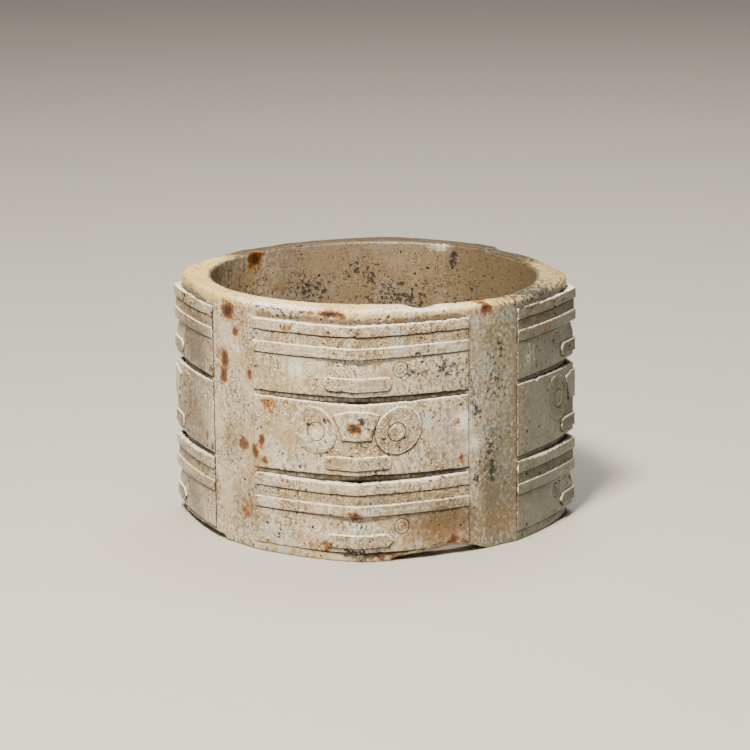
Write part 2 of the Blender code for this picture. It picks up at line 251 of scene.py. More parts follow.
DISC_SHOULDER = 0.12
BRIDGE_HALF = [(0.37, 7.0), (0.39, 8.2), (0.45, 9.6), (0.52, 10.9), (0.56, 12.0), (0.28, 12.75)]


def egg(side, place, grow=0.0):
    """The outline of a large eye whose pupil is so far from the ridge, on the right for side 1."""
    radii = (EGG_RADII[0] + grow, EGG_RADII[1] + grow)
    centre = (side * (place + EGG_SHIFT[0]), PUPIL_RISE + EGG_SHIFT[1])
    return ring(centre, radii, lean=EGG_LEAN * side, count=40)


def bridge(corner):
    """The fan between the large eyes, as wide on each side as its eye stands away."""
    (left, _), (right, _) = corner["eyes"][1]
    return ([(across * right, height) for across, height in BRIDGE_HALF] + [(0, 12.9)]
            + [(-across * left, height) for across, height in reversed(BRIDGE_HALF)])


print("the large eyes are", 2 * EGG_RADII[0], "by", 2 * EGG_RADII[1], "mm")

# %% [markdown]
# ## Leaving a form standing
# A carver cuts the ground away round a form, so a form is what stays high. Its edge is worn to
# a small shoulder, nibbled here and there, and has a steep wall. Earth and painted shade lie
# against the wall, most of them under the form where its shadow falls, and the upper edge is
# rubbed bright and carries a painted highlight. Both are noted for the finish.

# %% Raise a form, engrave a line
EARTH_AND_SHADE_REACH = (0.13, 0.12)
EARTH_AND_SHADE_SHARE = (0.72, 0.28)
WEAR_AND_HIGHLIGHT_REACH = 0.10
WEAR_AND_HIGHLIGHT_SHARE = (0.55, 0.45)
FULL_DRILL = 0.13


def raise_form(cut, measure, x, z, level, shoulder=SHOULDER, dirt_and_shade=1.0):
    """Leave a form standing at a level, with a worn shoulder, a nibbled edge and a steep wall."""
    distance = measure(x, z)
    under = np.clip((distance - measure(x, z + 0.1)) / 0.1, -1, 1)
    distance = distance + cut["nibble"] * (np.abs(distance) < SHADE)
    drop = np.maximum(cut["depth"] - level, 0)
    bend = np.clip((distance + shoulder) / shoulder, 0, 1)
    top = level + np.minimum(shoulder, 0.6 * drop) * (1 - np.sqrt(1 - bend * bend))
    wall = np.clip(distance / WALL, 0, 1)
    # earth and painted shade beside the wall, reaching further and darker under the form, where its shadow
    # falls
    reach = EARTH_AND_SHADE_REACH[0] + EARTH_AND_SHADE_REACH[1] * np.clip(under, 0, 1)
    shelter = np.exp(-np.maximum(distance - WALL, 0) / reach) * smooth(drop, 0.0, 0.3)
    shelter = np.minimum(shelter * (EARTH_AND_SHADE_SHARE[0] + EARTH_AND_SHADE_SHARE[1] * under) * dirt_and_shade, 1)
    cut["shelter"] = np.where(distance > 0, np.maximum(cut["shelter"], shelter), 0)
    # worn edge with a painted highlight, brighter on upper edges that face the light
    edge = np.exp(-np.abs(distance + 0.04) / WEAR_AND_HIGHLIGHT_REACH) * smooth(drop, 0.0, 0.25)
    edge = edge * (WEAR_AND_HIGHLIGHT_SHARE[0] - WEAR_AND_HIGHLIGHT_SHARE[1] * under)
    cut["edge"] = np.maximum(cut["edge"] * (distance > -shoulder), edge)
    cut["sand"] = np.where(distance < 0, 0, cut["sand"])
    cut["depth"] = np.where(distance < WALL, top * (1 - wall) + cut["depth"] * wall, cut["depth"])


def engrave(cut, distance, width, depth):
    """A round-bottomed line, as a tubular drill leaves."""
    share = np.clip(1 - (2 * distance / width) ** 2, 0, 1)
    cut["depth"] = cut["depth"] + depth * share
    # the line is darkened with earth and painted shade
    cut["shelter"] = np.maximum(cut["shelter"], 0.85 * share * min(1, depth / FULL_DRILL))


print("a form's shoulder is", SHOULDER, "mm wide and its wall", WALL, "mm")

# %% [markdown]
# ## The ground of each tier
# The ground is not one level. It lies deeper at the ridge than at the channel, the tube under
# it is round, and a hollow is scooped under the lower band at the ridge. A pair of depths gives
# each ground: the first at the ridge, the second at the channel.

# %% Ground, bands and grooves
FIELD_INSET = (0.52, 0.22)
RECESS_INSET = (0.38, 0.22)
FACE_INSET = (0.42, 0.20)
SCOOP = 0.62
SCOOP_HEIGHT = 3.0
GROOVE_CLOSE = 0.30
GROOVE_UNDERCUT = 0.25


def across_panel(insets, share):
    """A depth that runs evenly from the ridge to the channel."""
    return insets[0] * (1 - share) + insets[1] * share


def collar_depth(share):
    """How far the tube lies under the ridge line and the panels, round under the ridge."""
    rise = RIDGE_RISE - CHANNEL_STEP
    return CHANNEL_STEP + rise * (0.4 * (1 - share) ** 2 + 0.6 * (1 - share) ** 8)


def tier_edges(level, share):
    """The lower and upper edges of a tier, which close on the groove towards the channel."""
    lower = TIER_FEET[level] - (GROOVE_CLOSE * share if level > 0 else 0)
    upper = TIER_FEET[level] + TIER + (GROOVE_CLOSE * share if level < 2 else 0)
    return lower, upper


def plain_tier(x, height, share, nibble):
    """Bands, recess and field of a tier, with the hollow under the lower band at the ridge."""
    hollow = SCOOP * (1 - share) ** 5 * smooth(height, FIELD - SCOOP_HEIGHT, FIELD)
    ground = np.where(height < FIELD + BAND / 2, across_panel(FIELD_INSET, share) + hollow,
                      across_panel(RECESS_INSET, share))
    # the hollow gets painted shade
    cut = {"depth": ground, "shelter": 0.5 * hollow, "edge": np.zeros(len(x)),
           "sand": np.where(height < FIELD + BAND / 2, 0.0, 1.0), "nibble": nibble}
    for middle in (FIELD + BAND / 2, TIER - BAND / 2):
        raise_form(cut, lambda x, z: np.abs(z - middle) - BAND / 2, x, height, 0.0)
    return cut


print("the grooves are", RIDGE_RISE, "mm deep at the ridge and", CHANNEL_STEP, "at the channel")

# %% [markdown]
# ## How deep the stone is cut
# One function gives the depth for any place on a corner's flat drawing. It works from the
# ground up, as the carver did: first the tube, then the three tiers left standing on it, then
# the bands, then the fine forms, and last the engraved ring lines. The recess and the grooves
# get earth and painted shade, the shade darkest under overhanging edges and on the right of the
# ridge, away from the light, so it also says how much of both lies at each place.

# %% Carve a corner
SANDY_LEVEL = 0.16
LIP_LEVEL = 0.04
LIP_SLOPE = 0.25
BRIDGE_LEVEL = 0.03
NOSE_HOLLOW = 0.07
SANDY_HALF = 6.5
SANDY_RISE = (NOSE_FOOT + 2, 8)
NIBBLE = 0.32
NIBBLE_LENGTH = 1.7
NIBBLE_RARITY = 0.22
GROOVE_FLOOR_LINE = 0.2
GROOVE_EARTH_AND_SHADE = (0.58, 0.42)
RIGHT_SIDE_SHADE = 0.10
TIER_EARTH_AND_SHADE = (1.6, 3.0)


def carve(x, z, corner):
    """Depth, earth and painted shade, edge wear and painted highlight, and sandiness on a corner's
    drawing.
    """
    length = panel_length(corner["turn"])
    share = np.clip(np.abs(x) / length, 0, 1)
    in_groove = smooth(z, TIER_FEET[0] + 1, TIER_FEET[0] + 2)
    in_groove *= smooth(-z, -BLOCK_TOP + 1, -BLOCK_TOP + 2.2)
    floor = collar_depth(share) + GROOVE_UNDERCUT * in_groove * smooth(-share, -1, -0.8)
    nibble = wobble(x, z, corner["seed"] + 5, NIBBLE_LENGTH) - NIBBLE_RARITY
    nibble = NIBBLE * np.clip(nibble, 0, 1)
    middle = [TIER_FEET[level] - GROOVE / 2 for level in (1, 2)]
    from_middle = np.minimum(np.abs(z - middle[0]), np.abs(z - middle[1]))
    # groove floors get earth and painted shade, darkest by both walls: a painted shadow under the upper
    # tier, earth at the foot
    groove_earth_and_shade = GROOVE_EARTH_AND_SHADE[0] + GROOVE_EARTH_AND_SHADE[1] * smooth(from_middle, GROOVE_FLOOR_LINE, 0.7)
    # more painted shade on the right of the ridge, away from the light
    groove_earth_and_shade = groove_earth_and_shade + RIGHT_SIDE_SHADE * (x > 0)
    groove_earth_and_shade = groove_earth_and_shade * in_groove * smooth(-np.abs(x), -length, -length + 0.6)
    cut = {"depth": floor, "shelter": groove_earth_and_shade, "edge": np.zeros(len(x)),
           "sand": np.zeros(len(x)), "nibble": nibble}
    for level in range(3):
        def outline(x, z):
            lower, upper = tier_edges(level, np.clip(np.abs(x) / length, 0, 1))
            return np.maximum(np.abs(x) - length, np.maximum(lower - z, z - upper))

        here = (z > TIER_FEET[level] - 1) & (z < TIER_FEET[level] + TIER + 1)
        part = carve_tier(x[here], z[here], share[here], nibble[here], level, corner)
        whole = {key: cut[key][here] for key in cut}
        # forms right of the ridge get more painted shade beside their walls
        dirt_and_shade = np.where(x[here] > 0, TIER_EARTH_AND_SHADE[1], TIER_EARTH_AND_SHADE[0])
        raise_form(whole, outline, x[here], z[here], part["depth"], dirt_and_shade=dirt_and_shade)
        inside = outline(x[here], z[here]) < 0
        for key in ("shelter", "edge", "sand"):
            whole[key] = np.where(inside, np.maximum(part[key], whole[key]), whole[key])
        for key in cut:
            cut[key][here] = whole[key]
    return cut


def carve_tier(x, z, share, nibble, level, corner):
    """One tier with all that stands or is engraved on it."""
    height = z - TIER_FEET[level]
    if level != 1:
        cut = plain_tier(x, height, share, nibble)
        for side, (place, clear) in zip((-1, 1), corner["eyes"][level]):
            reach = np.hypot(x - side * place, height - SMALL_EYE_RISE)
            for radius, width, depth in SMALL_EYE_RINGS:
                engrave(cut, reach - radius, width, depth * clear)
    else:
        cut = {"depth": across_panel(FACE_INSET, share), "shelter": np.zeros(len(x)),
               "edge": np.zeros(len(x)), "sand": np.zeros(len(x)), "nibble": nibble}
        low_field = (np.abs(x) < SANDY_HALF) & (height > SANDY_RISE[0]) & (height < SANDY_RISE[1])
        cut["sand"] = np.where(low_field, 0.9, cut["sand"])
        for side, (place, clear) in zip((-1, 1), corner["eyes"][level]):
            lip = LIP_LEVEL * clear + FACE_INSET[0] * 0.7 * (1 - clear)
            raise_form(cut, outline_of(egg(side, place)), x, height, lip, LOW_SHOULDER)
            inner = distance_to(egg(side, place, -EGG_LIP), x, height)
            sunk = smooth(-inner, 0, LIP_SLOPE)
            cut["depth"] = cut["depth"] + (SANDY_LEVEL - LIP_LEVEL) * clear * sunk
            cut["sand"] = np.maximum(cut["sand"], sunk * clear)
            centre = (side * place, PUPIL_RISE)
            reach = np.hypot(x - centre[0], height - centre[1])
            disc = ring(centre, (PUPIL_DISC, PUPIL_DISC), count=36)
            raise_form(cut, outline_of(disc), x, height, lip - 0.02, DISC_SHOULDER)
            for radius, width, depth in PUPIL_RINGS:
                engrave(cut, reach - radius, width, depth * clear)
        raise_form(cut, outline_of(bridge(corner)), x, height, BRIDGE_LEVEL, LOW_SHOULDER)
    raise_form(cut, outline_of(NOSES[level]), x, height, 0.0)
    sunk = smooth(-distance_to(NOSES[level], x, height), *NOSE_SUNK)
    cut["depth"] = cut["depth"] + NOSE_HOLLOW * sunk
    cut["sand"] = np.maximum(cut["sand"], 0.8 * sunk)
    return cut


print("the mouth of a groove is", GROOVE, "mm tall at the ridge")

# %% [markdown]
# ## Four corners, each cut by hand
# The four corners follow one design but no two are alike. The front one is known best: its
# lines run a little downhill to the left, its right eyes are crisp and its left ones nearly
# worn away. The others vary by as much. Each eye is a place, in millimetres from the ridge,
# and how clear it still is, from 0 to 1, for the left and the right one of each tier.

# %% The corners
CORNERS = [
    {"name": "front", "heading": 0, "turn": FRONT_TURN, "tilt": (-0.30, 0.15), "seed": 3,
     "eyes": [((9.2, 0.4), (9.0, 0.9)), ((8.75, 0.55), (8.05, 1.0)), ((10.1, 0.4), (8.9, 1.0))]},
    {"name": "right", "heading": 90, "turn": SIDE_TURN, "tilt": (0.05, -0.10), "seed": 11,
     "eyes": [((9.0, 0.6), (8.8, 0.8)), ((8.3, 0.5), (8.2, 0.9)), ((8.9, 0.4), (9.2, 0.7))]},
    {"name": "back", "heading": 180, "turn": FRONT_TURN, "tilt": (0.12, -0.15), "seed": 23,
     "eyes": [((8.8, 0.8), (9.3, 0.5)), ((8.2, 0.9), (8.4, 0.75)), ((9.0, 0.9), (8.8, 0.6))]},
    {"name": "left", "heading": 270, "turn": SIDE_TURN, "tilt": (-0.10, 0.10), "seed": 37,
     "eyes": [((9.1, 0.7), (9.0, 0.5)), ((8.3, 0.8), (8.3, 0.5)), ((9.0, 0.6), (9.4, 0.5))]},
]
print("the corners are", [corner["name"] for corner in CORNERS])

# %% [markdown]
# ## A flat sheet for each corner
# A constrained Delaunay triangulation joins any set of points into triangles and keeps the
# lines that it is given. So each carved edge is drawn as a few close lines, the plain stone
# between them is filled with evenly spread points, and the triangles are as fine as the
# carving needs and no finer. The lines come first.

# %% Lines that the mesh keeps
LINE_SPACING = 0.55
FORM_SPACING = 0.34
RING_SPACING = 0.28
RIDGE_LINES = (-0.3, 0, 0.3)
RIM_LINES = [HEIGHT - RIM_ROUND * share for share in (1.0, 0.62, 0.34, 0.14, 0.03)]
FOOT_LINES = [EDGE_ROUND * share for share in (0.05, 0.25, 0.6, 1.0)]


def side_heights():
    """Heights of the points along both upright borders, the same on every sheet."""
    lowest, highest = FOOT_LINES[-1], RIM_LINES[0]
    count = round((highest - lowest) / LINE_SPACING)
    between = [lowest + (highest - lowest) * index / count for index in range(1, count)]
    return [0.0] + FOOT_LINES + between + sorted(RIM_LINES) + [HEIGHT]


def lines_across(length):
    """Level edges of the tiers and bands, from one channel to the other."""
    lines = []
    for level in range(3):
        foot = TIER_FEET[level]
        lows = tier_edges(level, 0)[0], tier_edges(level, 1)[0]
        highs = tier_edges(level, 0)[1], tier_edges(level, 1)[1]
        edges = [(lows, -1), (highs, 1)]
        if level != 1:
            for rise, side in ((FIELD, -1), (FIELD + BAND, 1), (FIELD + BAND + RECESS, -1)):
                edges.append(((foot + rise, foot + rise), side))
        if level > 0:
            for offset in (-GROOVE_FLOOR_LINE, GROOVE_FLOOR_LINE):
                height = foot - GROOVE / 2 + offset
                lines.append([(-length, height), (0, height), (length, height)])
        for (middle, end), side in edges:
            for offset in EDGE_LINES:
                shift = offset * side
                reach = length + WALL
                lines.append([(-reach, end + shift), (0, middle + shift), (reach, end + shift)])
    return lines


def forms_on(level, corner):
    """Closed lines of the forms on a tier, round both sides of their edges."""
    loops = [(NOSES[level], EDGE_LINES + (-NOSE_SUNK[0], -NOSE_SUNK[1]))]
    rings = SMALL_EYE_RINGS if level != 1 else PUPIL_RINGS
    rise = SMALL_EYE_RISE if level != 1 else PUPIL_RISE
    for side, (place, clear) in zip((-1, 1), corner["eyes"][level]):
        centre = (side * place, rise)
        for radius, width, depth in rings:
            count = max(8, round(math.tau * radius / RING_SPACING))
            loops.append((ring(centre, (radius, radius), count=count),
                          (-min(width / 2, 0.8 * radius), 0.0, width / 2)))
        if level == 1:
            loops.append((egg(side, place), (-EGG_LIP - LIP_SLOPE, -EGG_LIP, -LOW_SHOULDER, 0.0,
                                             WALL, SHADE)))
            loops.append((ring(centre, (PUPIL_DISC, PUPIL_DISC), count=36),
                          (-DISC_SHOULDER, 0.0)))
    if level == 1:
        loops.append((bridge(corner), (-LOW_SHOULDER, 0.0, WALL, SHADE)))
    return loops


print("each border of a sheet has", len(side_heights()), "points")

# %% [markdown]
# ## Filling in between the lines
# Every other row of the fill is shifted by half a step, which gives triangles of nearly equal
# sides. The fill is closer where there is carving, and a point that would crowd a drawn line is
# left out, so that no sliver triangles show in the light.

# %% Triangulate the flat drawing
FINE_FILL = 0.46
PLAIN_FILL = 0.74
FACE_REACH = 14.2
CLEAR_OF_LINES = 0.55
ROW_SHARE = math.sqrt(3) / 2


def corner_drawing(corner):
    """Points and triangles of one corner, from the middle of one channel to the next."""
    length = panel_length(corner["turn"])
    reach = length + CHANNEL_WIDTH / 2
    points = []
    edges = []

    def draw(line, closed, spacing):
        stepped = even_steps(line, spacing, closed)
        first = len(points)
        points.extend(stepped)
        last = len(points) - 1
        edges.extend((index, index + 1) for index in range(first, last))
        if closed:
            edges.append((last, first))

    heights = side_heights()
    for side in (-reach, reach):
        draw([(side, height) for height in heights], False, LINE_SPACING * 2)
    for height in [0.0] + FOOT_LINES + RIM_LINES + [HEIGHT]:
        draw([(-reach, height), (0, height), (reach, height)], False, LINE_SPACING)
    for line in lines_across(length):
        draw(line, False, LINE_SPACING)
    for offset in EDGE_LINES:
        for side in (-1, 1):
            place = side * (length + offset)
            draw([(place, FOOT_COLLAR), (place, BLOCK_TOP)], False, LINE_SPACING)
    for place in RIDGE_LINES:
        draw([(place, FOOT_LINES[-1]), (place, RIM_LINES[0])], False, LINE_SPACING)
    for level in range(3):
        for outline, offsets in forms_on(level, corner):
            placed = [(across, height + TIER_FEET[level]) for across, height in outline]
            even = even_steps(placed, FORM_SPACING)
            for offset in offsets:
                draw(grown(even, offset), True, 1.0)
    points += fill_between(points, reach)
    flat = [Vector(point) for point in points]
    made = geometry.delaunay_2d_cdt(flat, edges, [], 0, 1e-5)
    places = np.array([tuple(point) for point in made[0]])
    return places, np.array(made[2])


def fill_between(points, reach):
    """Evenly spread points, finer near the carved faces, that keep off the drawn lines."""
    tree = kdtree.KDTree(len(points))
    for index, point in enumerate(points):
        tree.insert((point[0], point[1], 0), index)
    tree.balance()
    filled = []
    for spacing, fine in ((FINE_FILL, True), (PLAIN_FILL, False)):
        rows = int(HEIGHT / (spacing * ROW_SHARE))
        for row in range(1, rows):
            height = HEIGHT * row / rows
            count = int(2 * reach / spacing)
            for column in range(1, count):
                across = -reach + 2 * reach * (column + 0.5 * (row % 2)) / count
                is_near = abs(across) < FACE_REACH and FOOT_COLLAR < height < BLOCK_TOP
                if is_near != fine or abs(across) > reach - spacing / 2:
                    continue
                if tree.find((across, height, 0))[2] > CLEAR_OF_LINES * spacing:
                    filled.append((across, height))
    return filled


print("the fill is", FINE_FILL, "mm apart on the carving and", PLAIN_FILL, "mm elsewhere")

# %% [markdown]
# ## Nodes from a script
# A node is added, set and linked by one small function, whatever its kind. Its inputs are given
# by name or number, and each is either a value or the output of another node. Sizes come into
# a geometry tree as named inputs, so that someone can change them without reading the tree.

# %% Helpers for nodes, trees and meshes


def add(tree, kind, inputs=None, **settings):
    """Add a node with its settings; each input is a value or the socket that feeds it."""
    node = tree.nodes.new(kind)
    for name, value in settings.items():
        setattr(node, name, value)
    for key, value in (inputs or {}).items():
        if isinstance(value, bpy.types.NodeSocket):
            tree.links.new(value, node.inputs[key])
        else:
            node.inputs[key].default_value = value
    return node


def new_tree(name, sizes):
    """A node tree with a geometry input and output and named number inputs."""
    tree = bpy.data.node_groups.new(name, "GeometryNodeTree")
    tree.interface.new_socket("Geometry", in_out='INPUT', socket_type='NodeSocketGeometry')
    for size, value in sizes.items():
        socket = tree.interface.new_socket(size, in_out='INPUT', socket_type='NodeSocketFloat')
        socket.default_value = value
    tree.interface.new_socket("Geometry", in_out='OUTPUT', socket_type='NodeSocketGeometry')
    given = tree.nodes.new("NodeGroupInput").outputs
    return tree, given


def applied(item, tree, values):
    """The plain mesh that a node tree makes of an object, with its inputs set by identifier."""
    step = item.modifiers.new(tree.name, 'NODES')
    step.node_group = tree
    names = {socket.name: socket.identifier for socket in tree.interface.items_tree
             if socket.in_out == 'INPUT'}
    for name, value in values.items():
        step[names[name]] = value
    bpy.context.view_layer.update()
    graph = bpy.context.evaluated_depsgraph_get()
    mesh = bpy.data.meshes.new_from_object(item.evaluated_get(graph))
    item.modifiers.remove(step)
    return mesh


def places_of(mesh):
    """The vertex places of a mesh, in millimetres."""
    flat = np.empty(len(mesh.vertices) * 3, np.float32)
    mesh.vertices.foreach_get("co", flat)
    return flat.reshape(-1, 3).astype(float) / MM


STONE = bpy.data.materials.new("altered_nephrite_polished_then_buried")
print("the stone's material is called", STONE.name)

# %% [markdown]
# ## Wrapping a sheet round its corner
# The shape of a corner follows a rule: two bulging panels from the ridge to the channels. That
# is a job for Geometry Nodes. The tree takes the flat sheet, whose Y is the depth of the
# carving, and bends it to the plan of the corner. Its inputs are the plan's own sizes, so the
# cong can be made wider or its ridges sharper without drawing the carving again.

# %% The wrapping tree


def wrapping_tree():
    """Bend a flat sheet (X across, Y depth, Z height) round one corner of the cong."""
    tree, given = new_tree("wrap round a corner", {
        "Ridge Radius": RIDGE_RADIUS * MM, "Channel Face": CHANNEL_FACE * MM,
        "Channel Step": CHANNEL_STEP * MM, "Channel Width": CHANNEL_WIDTH * MM,
        "Panel Bulge": PANEL_BULGE * MM, "Channel Turn": FRONT_TURN, "Heading": FRONT_RIDGE})
    math_node, vector_node = "ShaderNodeMath", "ShaderNodeVectorMath"
    place = add(tree, "ShaderNodeSeparateXYZ", {0: add(tree, "GeometryNodeInputPosition").outputs[0]})
    across, depth, height = place.outputs
    far = add(tree, math_node, {0: across}, operation='ABSOLUTE').outputs[0]
    side = add(tree, math_node, {0: across}, operation='SIGN').outputs[0]
    cosine = add(tree, math_node, {0: given["Channel Turn"]}, operation='COSINE').outputs[0]
    sine = add(tree, math_node, {0: given["Channel Turn"]}, operation='SINE').outputs[0]
    back = add(tree, math_node, {0: sine, 1: -1.0}, operation='MULTIPLY').outputs[0]
    normal = add(tree, "ShaderNodeCombineXYZ", {0: cosine, 1: sine}).outputs[0]
    along = add(tree, "ShaderNodeCombineXYZ", {0: back, 1: cosine}).outputs[0]
    reach = add(tree, math_node, {0: given["Channel Face"], 1: given["Channel Step"]},
                operation='ADD').outputs[0]
    half = add(tree, math_node, {0: given["Channel Width"], 1: -0.5},
               operation='MULTIPLY').outputs[0]
    outwards = add(tree, vector_node, {0: normal, "Scale": reach}, operation='SCALE').outputs[0]
    sideways = add(tree, vector_node, {0: along, "Scale": half}, operation='SCALE').outputs[0]
    edge = add(tree, vector_node, {0: outwards, 1: sideways}, operation='ADD').outputs[0]
    ridge = add(tree, "ShaderNodeCombineXYZ", {0: given["Ridge Radius"]}).outputs[0]
    chord = add(tree, vector_node, {0: edge, 1: ridge}, operation='SUBTRACT').outputs[0]
    length = add(tree, vector_node, {0: chord}, operation='LENGTH').outputs["Value"]
    share = add(tree, math_node, {0: far, 1: length}, operation='DIVIDE', use_clamp=True).outputs[0]
    beyond = add(tree, math_node, {0: far, 1: length}, operation='SUBTRACT').outputs[0]
    beyond = add(tree, math_node, {0: beyond, 1: 0.0}, operation='MAXIMUM').outputs[0]
    rest = add(tree, math_node, {0: 1.0, 1: share}, operation='SUBTRACT').outputs[0]
    arch = add(tree, math_node, {0: share, 1: rest}, operation='MULTIPLY').outputs[0]
    arch = add(tree, math_node, {0: arch, 1: 4.0}, operation='MULTIPLY').outputs[0]
    arch = add(tree, math_node, {0: arch, 1: given["Panel Bulge"]}, operation='MULTIPLY').outputs[0]
    parts = add(tree, "ShaderNodeSeparateXYZ", {0: chord}).outputs
    turned = add(tree, math_node, {0: parts[0], 1: -1.0}, operation='MULTIPLY').outputs[0]
    outer = add(tree, "ShaderNodeCombineXYZ", {0: parts[1], 1: turned}).outputs[0]
    outer = add(tree, vector_node, {0: outer}, operation='NORMALIZE').outputs[0]
    lean = add(tree, math_node, {0: given["Channel Turn"], 1: share}, operation='MULTIPLY').outputs[0]
    lean_cosine = add(tree, math_node, {0: lean}, operation='COSINE').outputs[0]
    lean_sine = add(tree, math_node, {0: lean}, operation='SINE').outputs[0]
    inwards = add(tree, "ShaderNodeCombineXYZ", {0: lean_cosine, 1: lean_sine}).outputs[0]
    sunk = add(tree, math_node, {0: depth, 1: -1.0}, operation='MULTIPLY').outputs[0]
    spot = ridge
    for direction, amount in ((chord, share), (outer, arch), (along, beyond), (inwards, sunk)):
        step = add(tree, vector_node, {0: direction, "Scale": amount}, operation='SCALE').outputs[0]
        spot = add(tree, vector_node, {0: spot, 1: step}, operation='ADD').outputs[0]
    plan = add(tree, "ShaderNodeSeparateXYZ", {0: spot}).outputs
    sided = add(tree, math_node, {0: plan[1], 1: side}, operation='MULTIPLY').outputs[0]
    spot = add(tree, "ShaderNodeCombineXYZ", {0: plan[0], 1: sided, 2: height}).outputs[0]
    spot = add(tree, "ShaderNodeVectorRotate", {"Vector": spot, "Angle": given["Heading"]},
               rotation_type='Z_AXIS').outputs[0]
    moved = add(tree, "GeometryNodeSetPosition", {"Geometry": given["Geometry"],
                                                  "Position": spot}).outputs[0]
    real = add(tree, "GeometryNodeRealizeInstances", {0: moved}).outputs[0]
    painted = add(tree, "GeometryNodeSetMaterial", {"Geometry": real, "Material": STONE}).outputs[0]
    add(tree, "NodeGroupOutput", {0: painted})
    return tree


WRAP = wrapping_tree()
print("the wrapping tree has", len(WRAP.nodes), "nodes")

# %% [markdown]
# ## Cut by hand
# A lapidary with sand, cord and drill does not cut to a tenth of a millimetre. Each corner's
# lines get their own slight slope and a little wobble before the sheet is wrapped.

# %% Wrap the four sheets
WOBBLE = 0.07
WOBBLE_LENGTH = 9.0


def slope_of(x, z, corner):
    """How far the lines of a corner run uphill or downhill at each place."""
    length = panel_length(corner["turn"])
    ends = smooth(z, 0.5, 4) * smooth(-z, -HEIGHT + 0.5, -HEIGHT + 4)
    fade = ends * smooth(-np.abs(x), -length - 4, -length)
    left, right = corner["tilt"]
    slant = np.where(x < 0, left, right) * np.clip(np.abs(x) / length, 0, 1)
    return fade * (slant + WOBBLE * wobble(x, z, corner["seed"], WOBBLE_LENGTH))


def wrapped_corner(corner):
    """One carved corner: its places round the cong, triangles and finish values."""
    flat, faces = corner_drawing(corner)
    x, z = flat[:, 0], flat[:, 1]
    cut = carve(x, z, corner)
    rim = np.clip((z - HEIGHT + RIM_ROUND) / RIM_ROUND, 0, 1)
    foot = np.clip((EDGE_ROUND - z) / EDGE_ROUND, 0, 1)
    depth = cut["depth"] + RIM_ROUND * (1 - np.sqrt(1 - rim * rim))
    depth += EDGE_ROUND * (1 - np.sqrt(1 - foot * foot))
    height = z + slope_of(x, z, corner)
    mesh = bpy.data.meshes.new(corner["name"])
    mesh.from_pydata(np.stack([x, depth, height], 1) * MM, [], faces.tolist())
    item = bpy.data.objects.new(corner["name"], mesh)
    bpy.context.scene.collection.objects.link(item)
    heading = FRONT_RIDGE + math.radians(corner["heading"])
    made = applied(item, WRAP, {"Channel Turn": corner["turn"], "Heading": heading})
    places = places_of(made)
    bpy.data.objects.remove(item)
    cut["places"], cut["faces"], cut["x"], cut["z"] = places, faces, x, z
    cut["band"] = band_share(x, z, corner)
    return cut


def band_share(x, z, corner):
    """1 on the raised bands, where fine level lines were ground in."""
    share = np.zeros(len(x))
    for level in (0, 2):
        height = z - TIER_FEET[level]
        for middle in (FIELD + BAND / 2, TIER - BAND / 2):
            share = np.maximum(share, smooth(-np.abs(height - middle), -BAND / 2, -BAND / 2 + 0.2))
    return share * (np.abs(x) < panel_length(corner["turn"]))


sheets = [wrapped_corner(corner) for corner in CORNERS]
print("corners have", [len(sheet["places"]) for sheet in sheets], "points")

# %% [markdown]
# ## Rim, bore and foot
# The rest of the tube is a loft: the top border of the sheets, carried over the rim, down the
# bore, across the foot and back out to the bottom border. Rows lie close where the edges are
# worn round and far apart on the plain bore.

# %% Loft the tube from border to border
RIM_ROWS = 8
FOOT_ROWS = 5
WORN_ROWS = 3
BORE_ROWS = 15
BORE_TOP_ROWS = (0.6, 1.3, 2.1, 3.1)


def border(height):
    """The points of all sheets at one border, once round the cong."""
    loop = []
    for sheet in sheets:
        chosen = np.flatnonzero(np.abs(sheet["z"] - height) < 1e-6)
        chosen = chosen[np.argsort(sheet["x"][chosen])]
        loop.append(sheet["places"][chosen[:-1]])
    return np.concatenate(loop)


def at(radius, height, turns):
    """Points at a radius and height, one for each turn."""
    return np.stack([radius * np.cos(turns), radius * np.sin(turns),
                     np.full(len(turns), 1.0) * height], 1)


def tube_rows():
    """Rows of points from the top border over the rim and down the bore to the bottom one."""
    top, bottom = border(HEIGHT), border(0.0)
    top_turns = np.arctan2(top[:, 1], top[:, 0])
    gap = np.arctan2(bottom[:, 1], bottom[:, 0]) - top_turns
    bottom_turns = top_turns + (gap + math.pi) % math.tau - math.pi
    edge = BORE_RADIUS + EDGE_ROUND
    rows = [top]
    outer = np.hypot(top[:, 0], top[:, 1])
    for index in range(1, RIM_ROWS + 1):
        share = index / RIM_ROWS
        rows.append(at(outer + (edge - outer) * share, HEIGHT, top_turns))
    for index in range(1, WORN_ROWS + 1):
        turn = math.pi / 2 * index / WORN_ROWS
        rows.append(at(BORE_RADIUS + EDGE_ROUND * (1 - math.sin(turn)),
                       HEIGHT - EDGE_ROUND * (1 - math.cos(turn)), top_turns))
    depths = list(BORE_TOP_ROWS)
    first, last = BORE_TOP_ROWS[-1], HEIGHT - EDGE_ROUND
    depths += [first + (last - first) * index / BORE_ROWS for index in range(1, BORE_ROWS + 1)]
    for depth in depths:
        share = depth / HEIGHT
        turns = top_turns * (1 - share) + bottom_turns * share
        rows.append(at(BORE_RADIUS, HEIGHT - depth, turns))
    for index in range(WORN_ROWS - 1, -1, -1):
        turn = math.pi / 2 * index / WORN_ROWS
        rows.append(at(BORE_RADIUS + EDGE_ROUND * (1 - math.sin(turn)),
                       EDGE_ROUND * (1 - math.cos(turn)), bottom_turns))
    outer = np.hypot(bottom[:, 0], bottom[:, 1])
    for index in range(1, FOOT_ROWS):
        share = index / FOOT_ROWS
        rows.append(at(edge + (outer - edge) * share, 0.0, bottom_turns))
    rows.append(bottom)
    return rows


rows = tube_rows()
print("the tube has", len(rows), "rows of", len(rows[0]), "points")

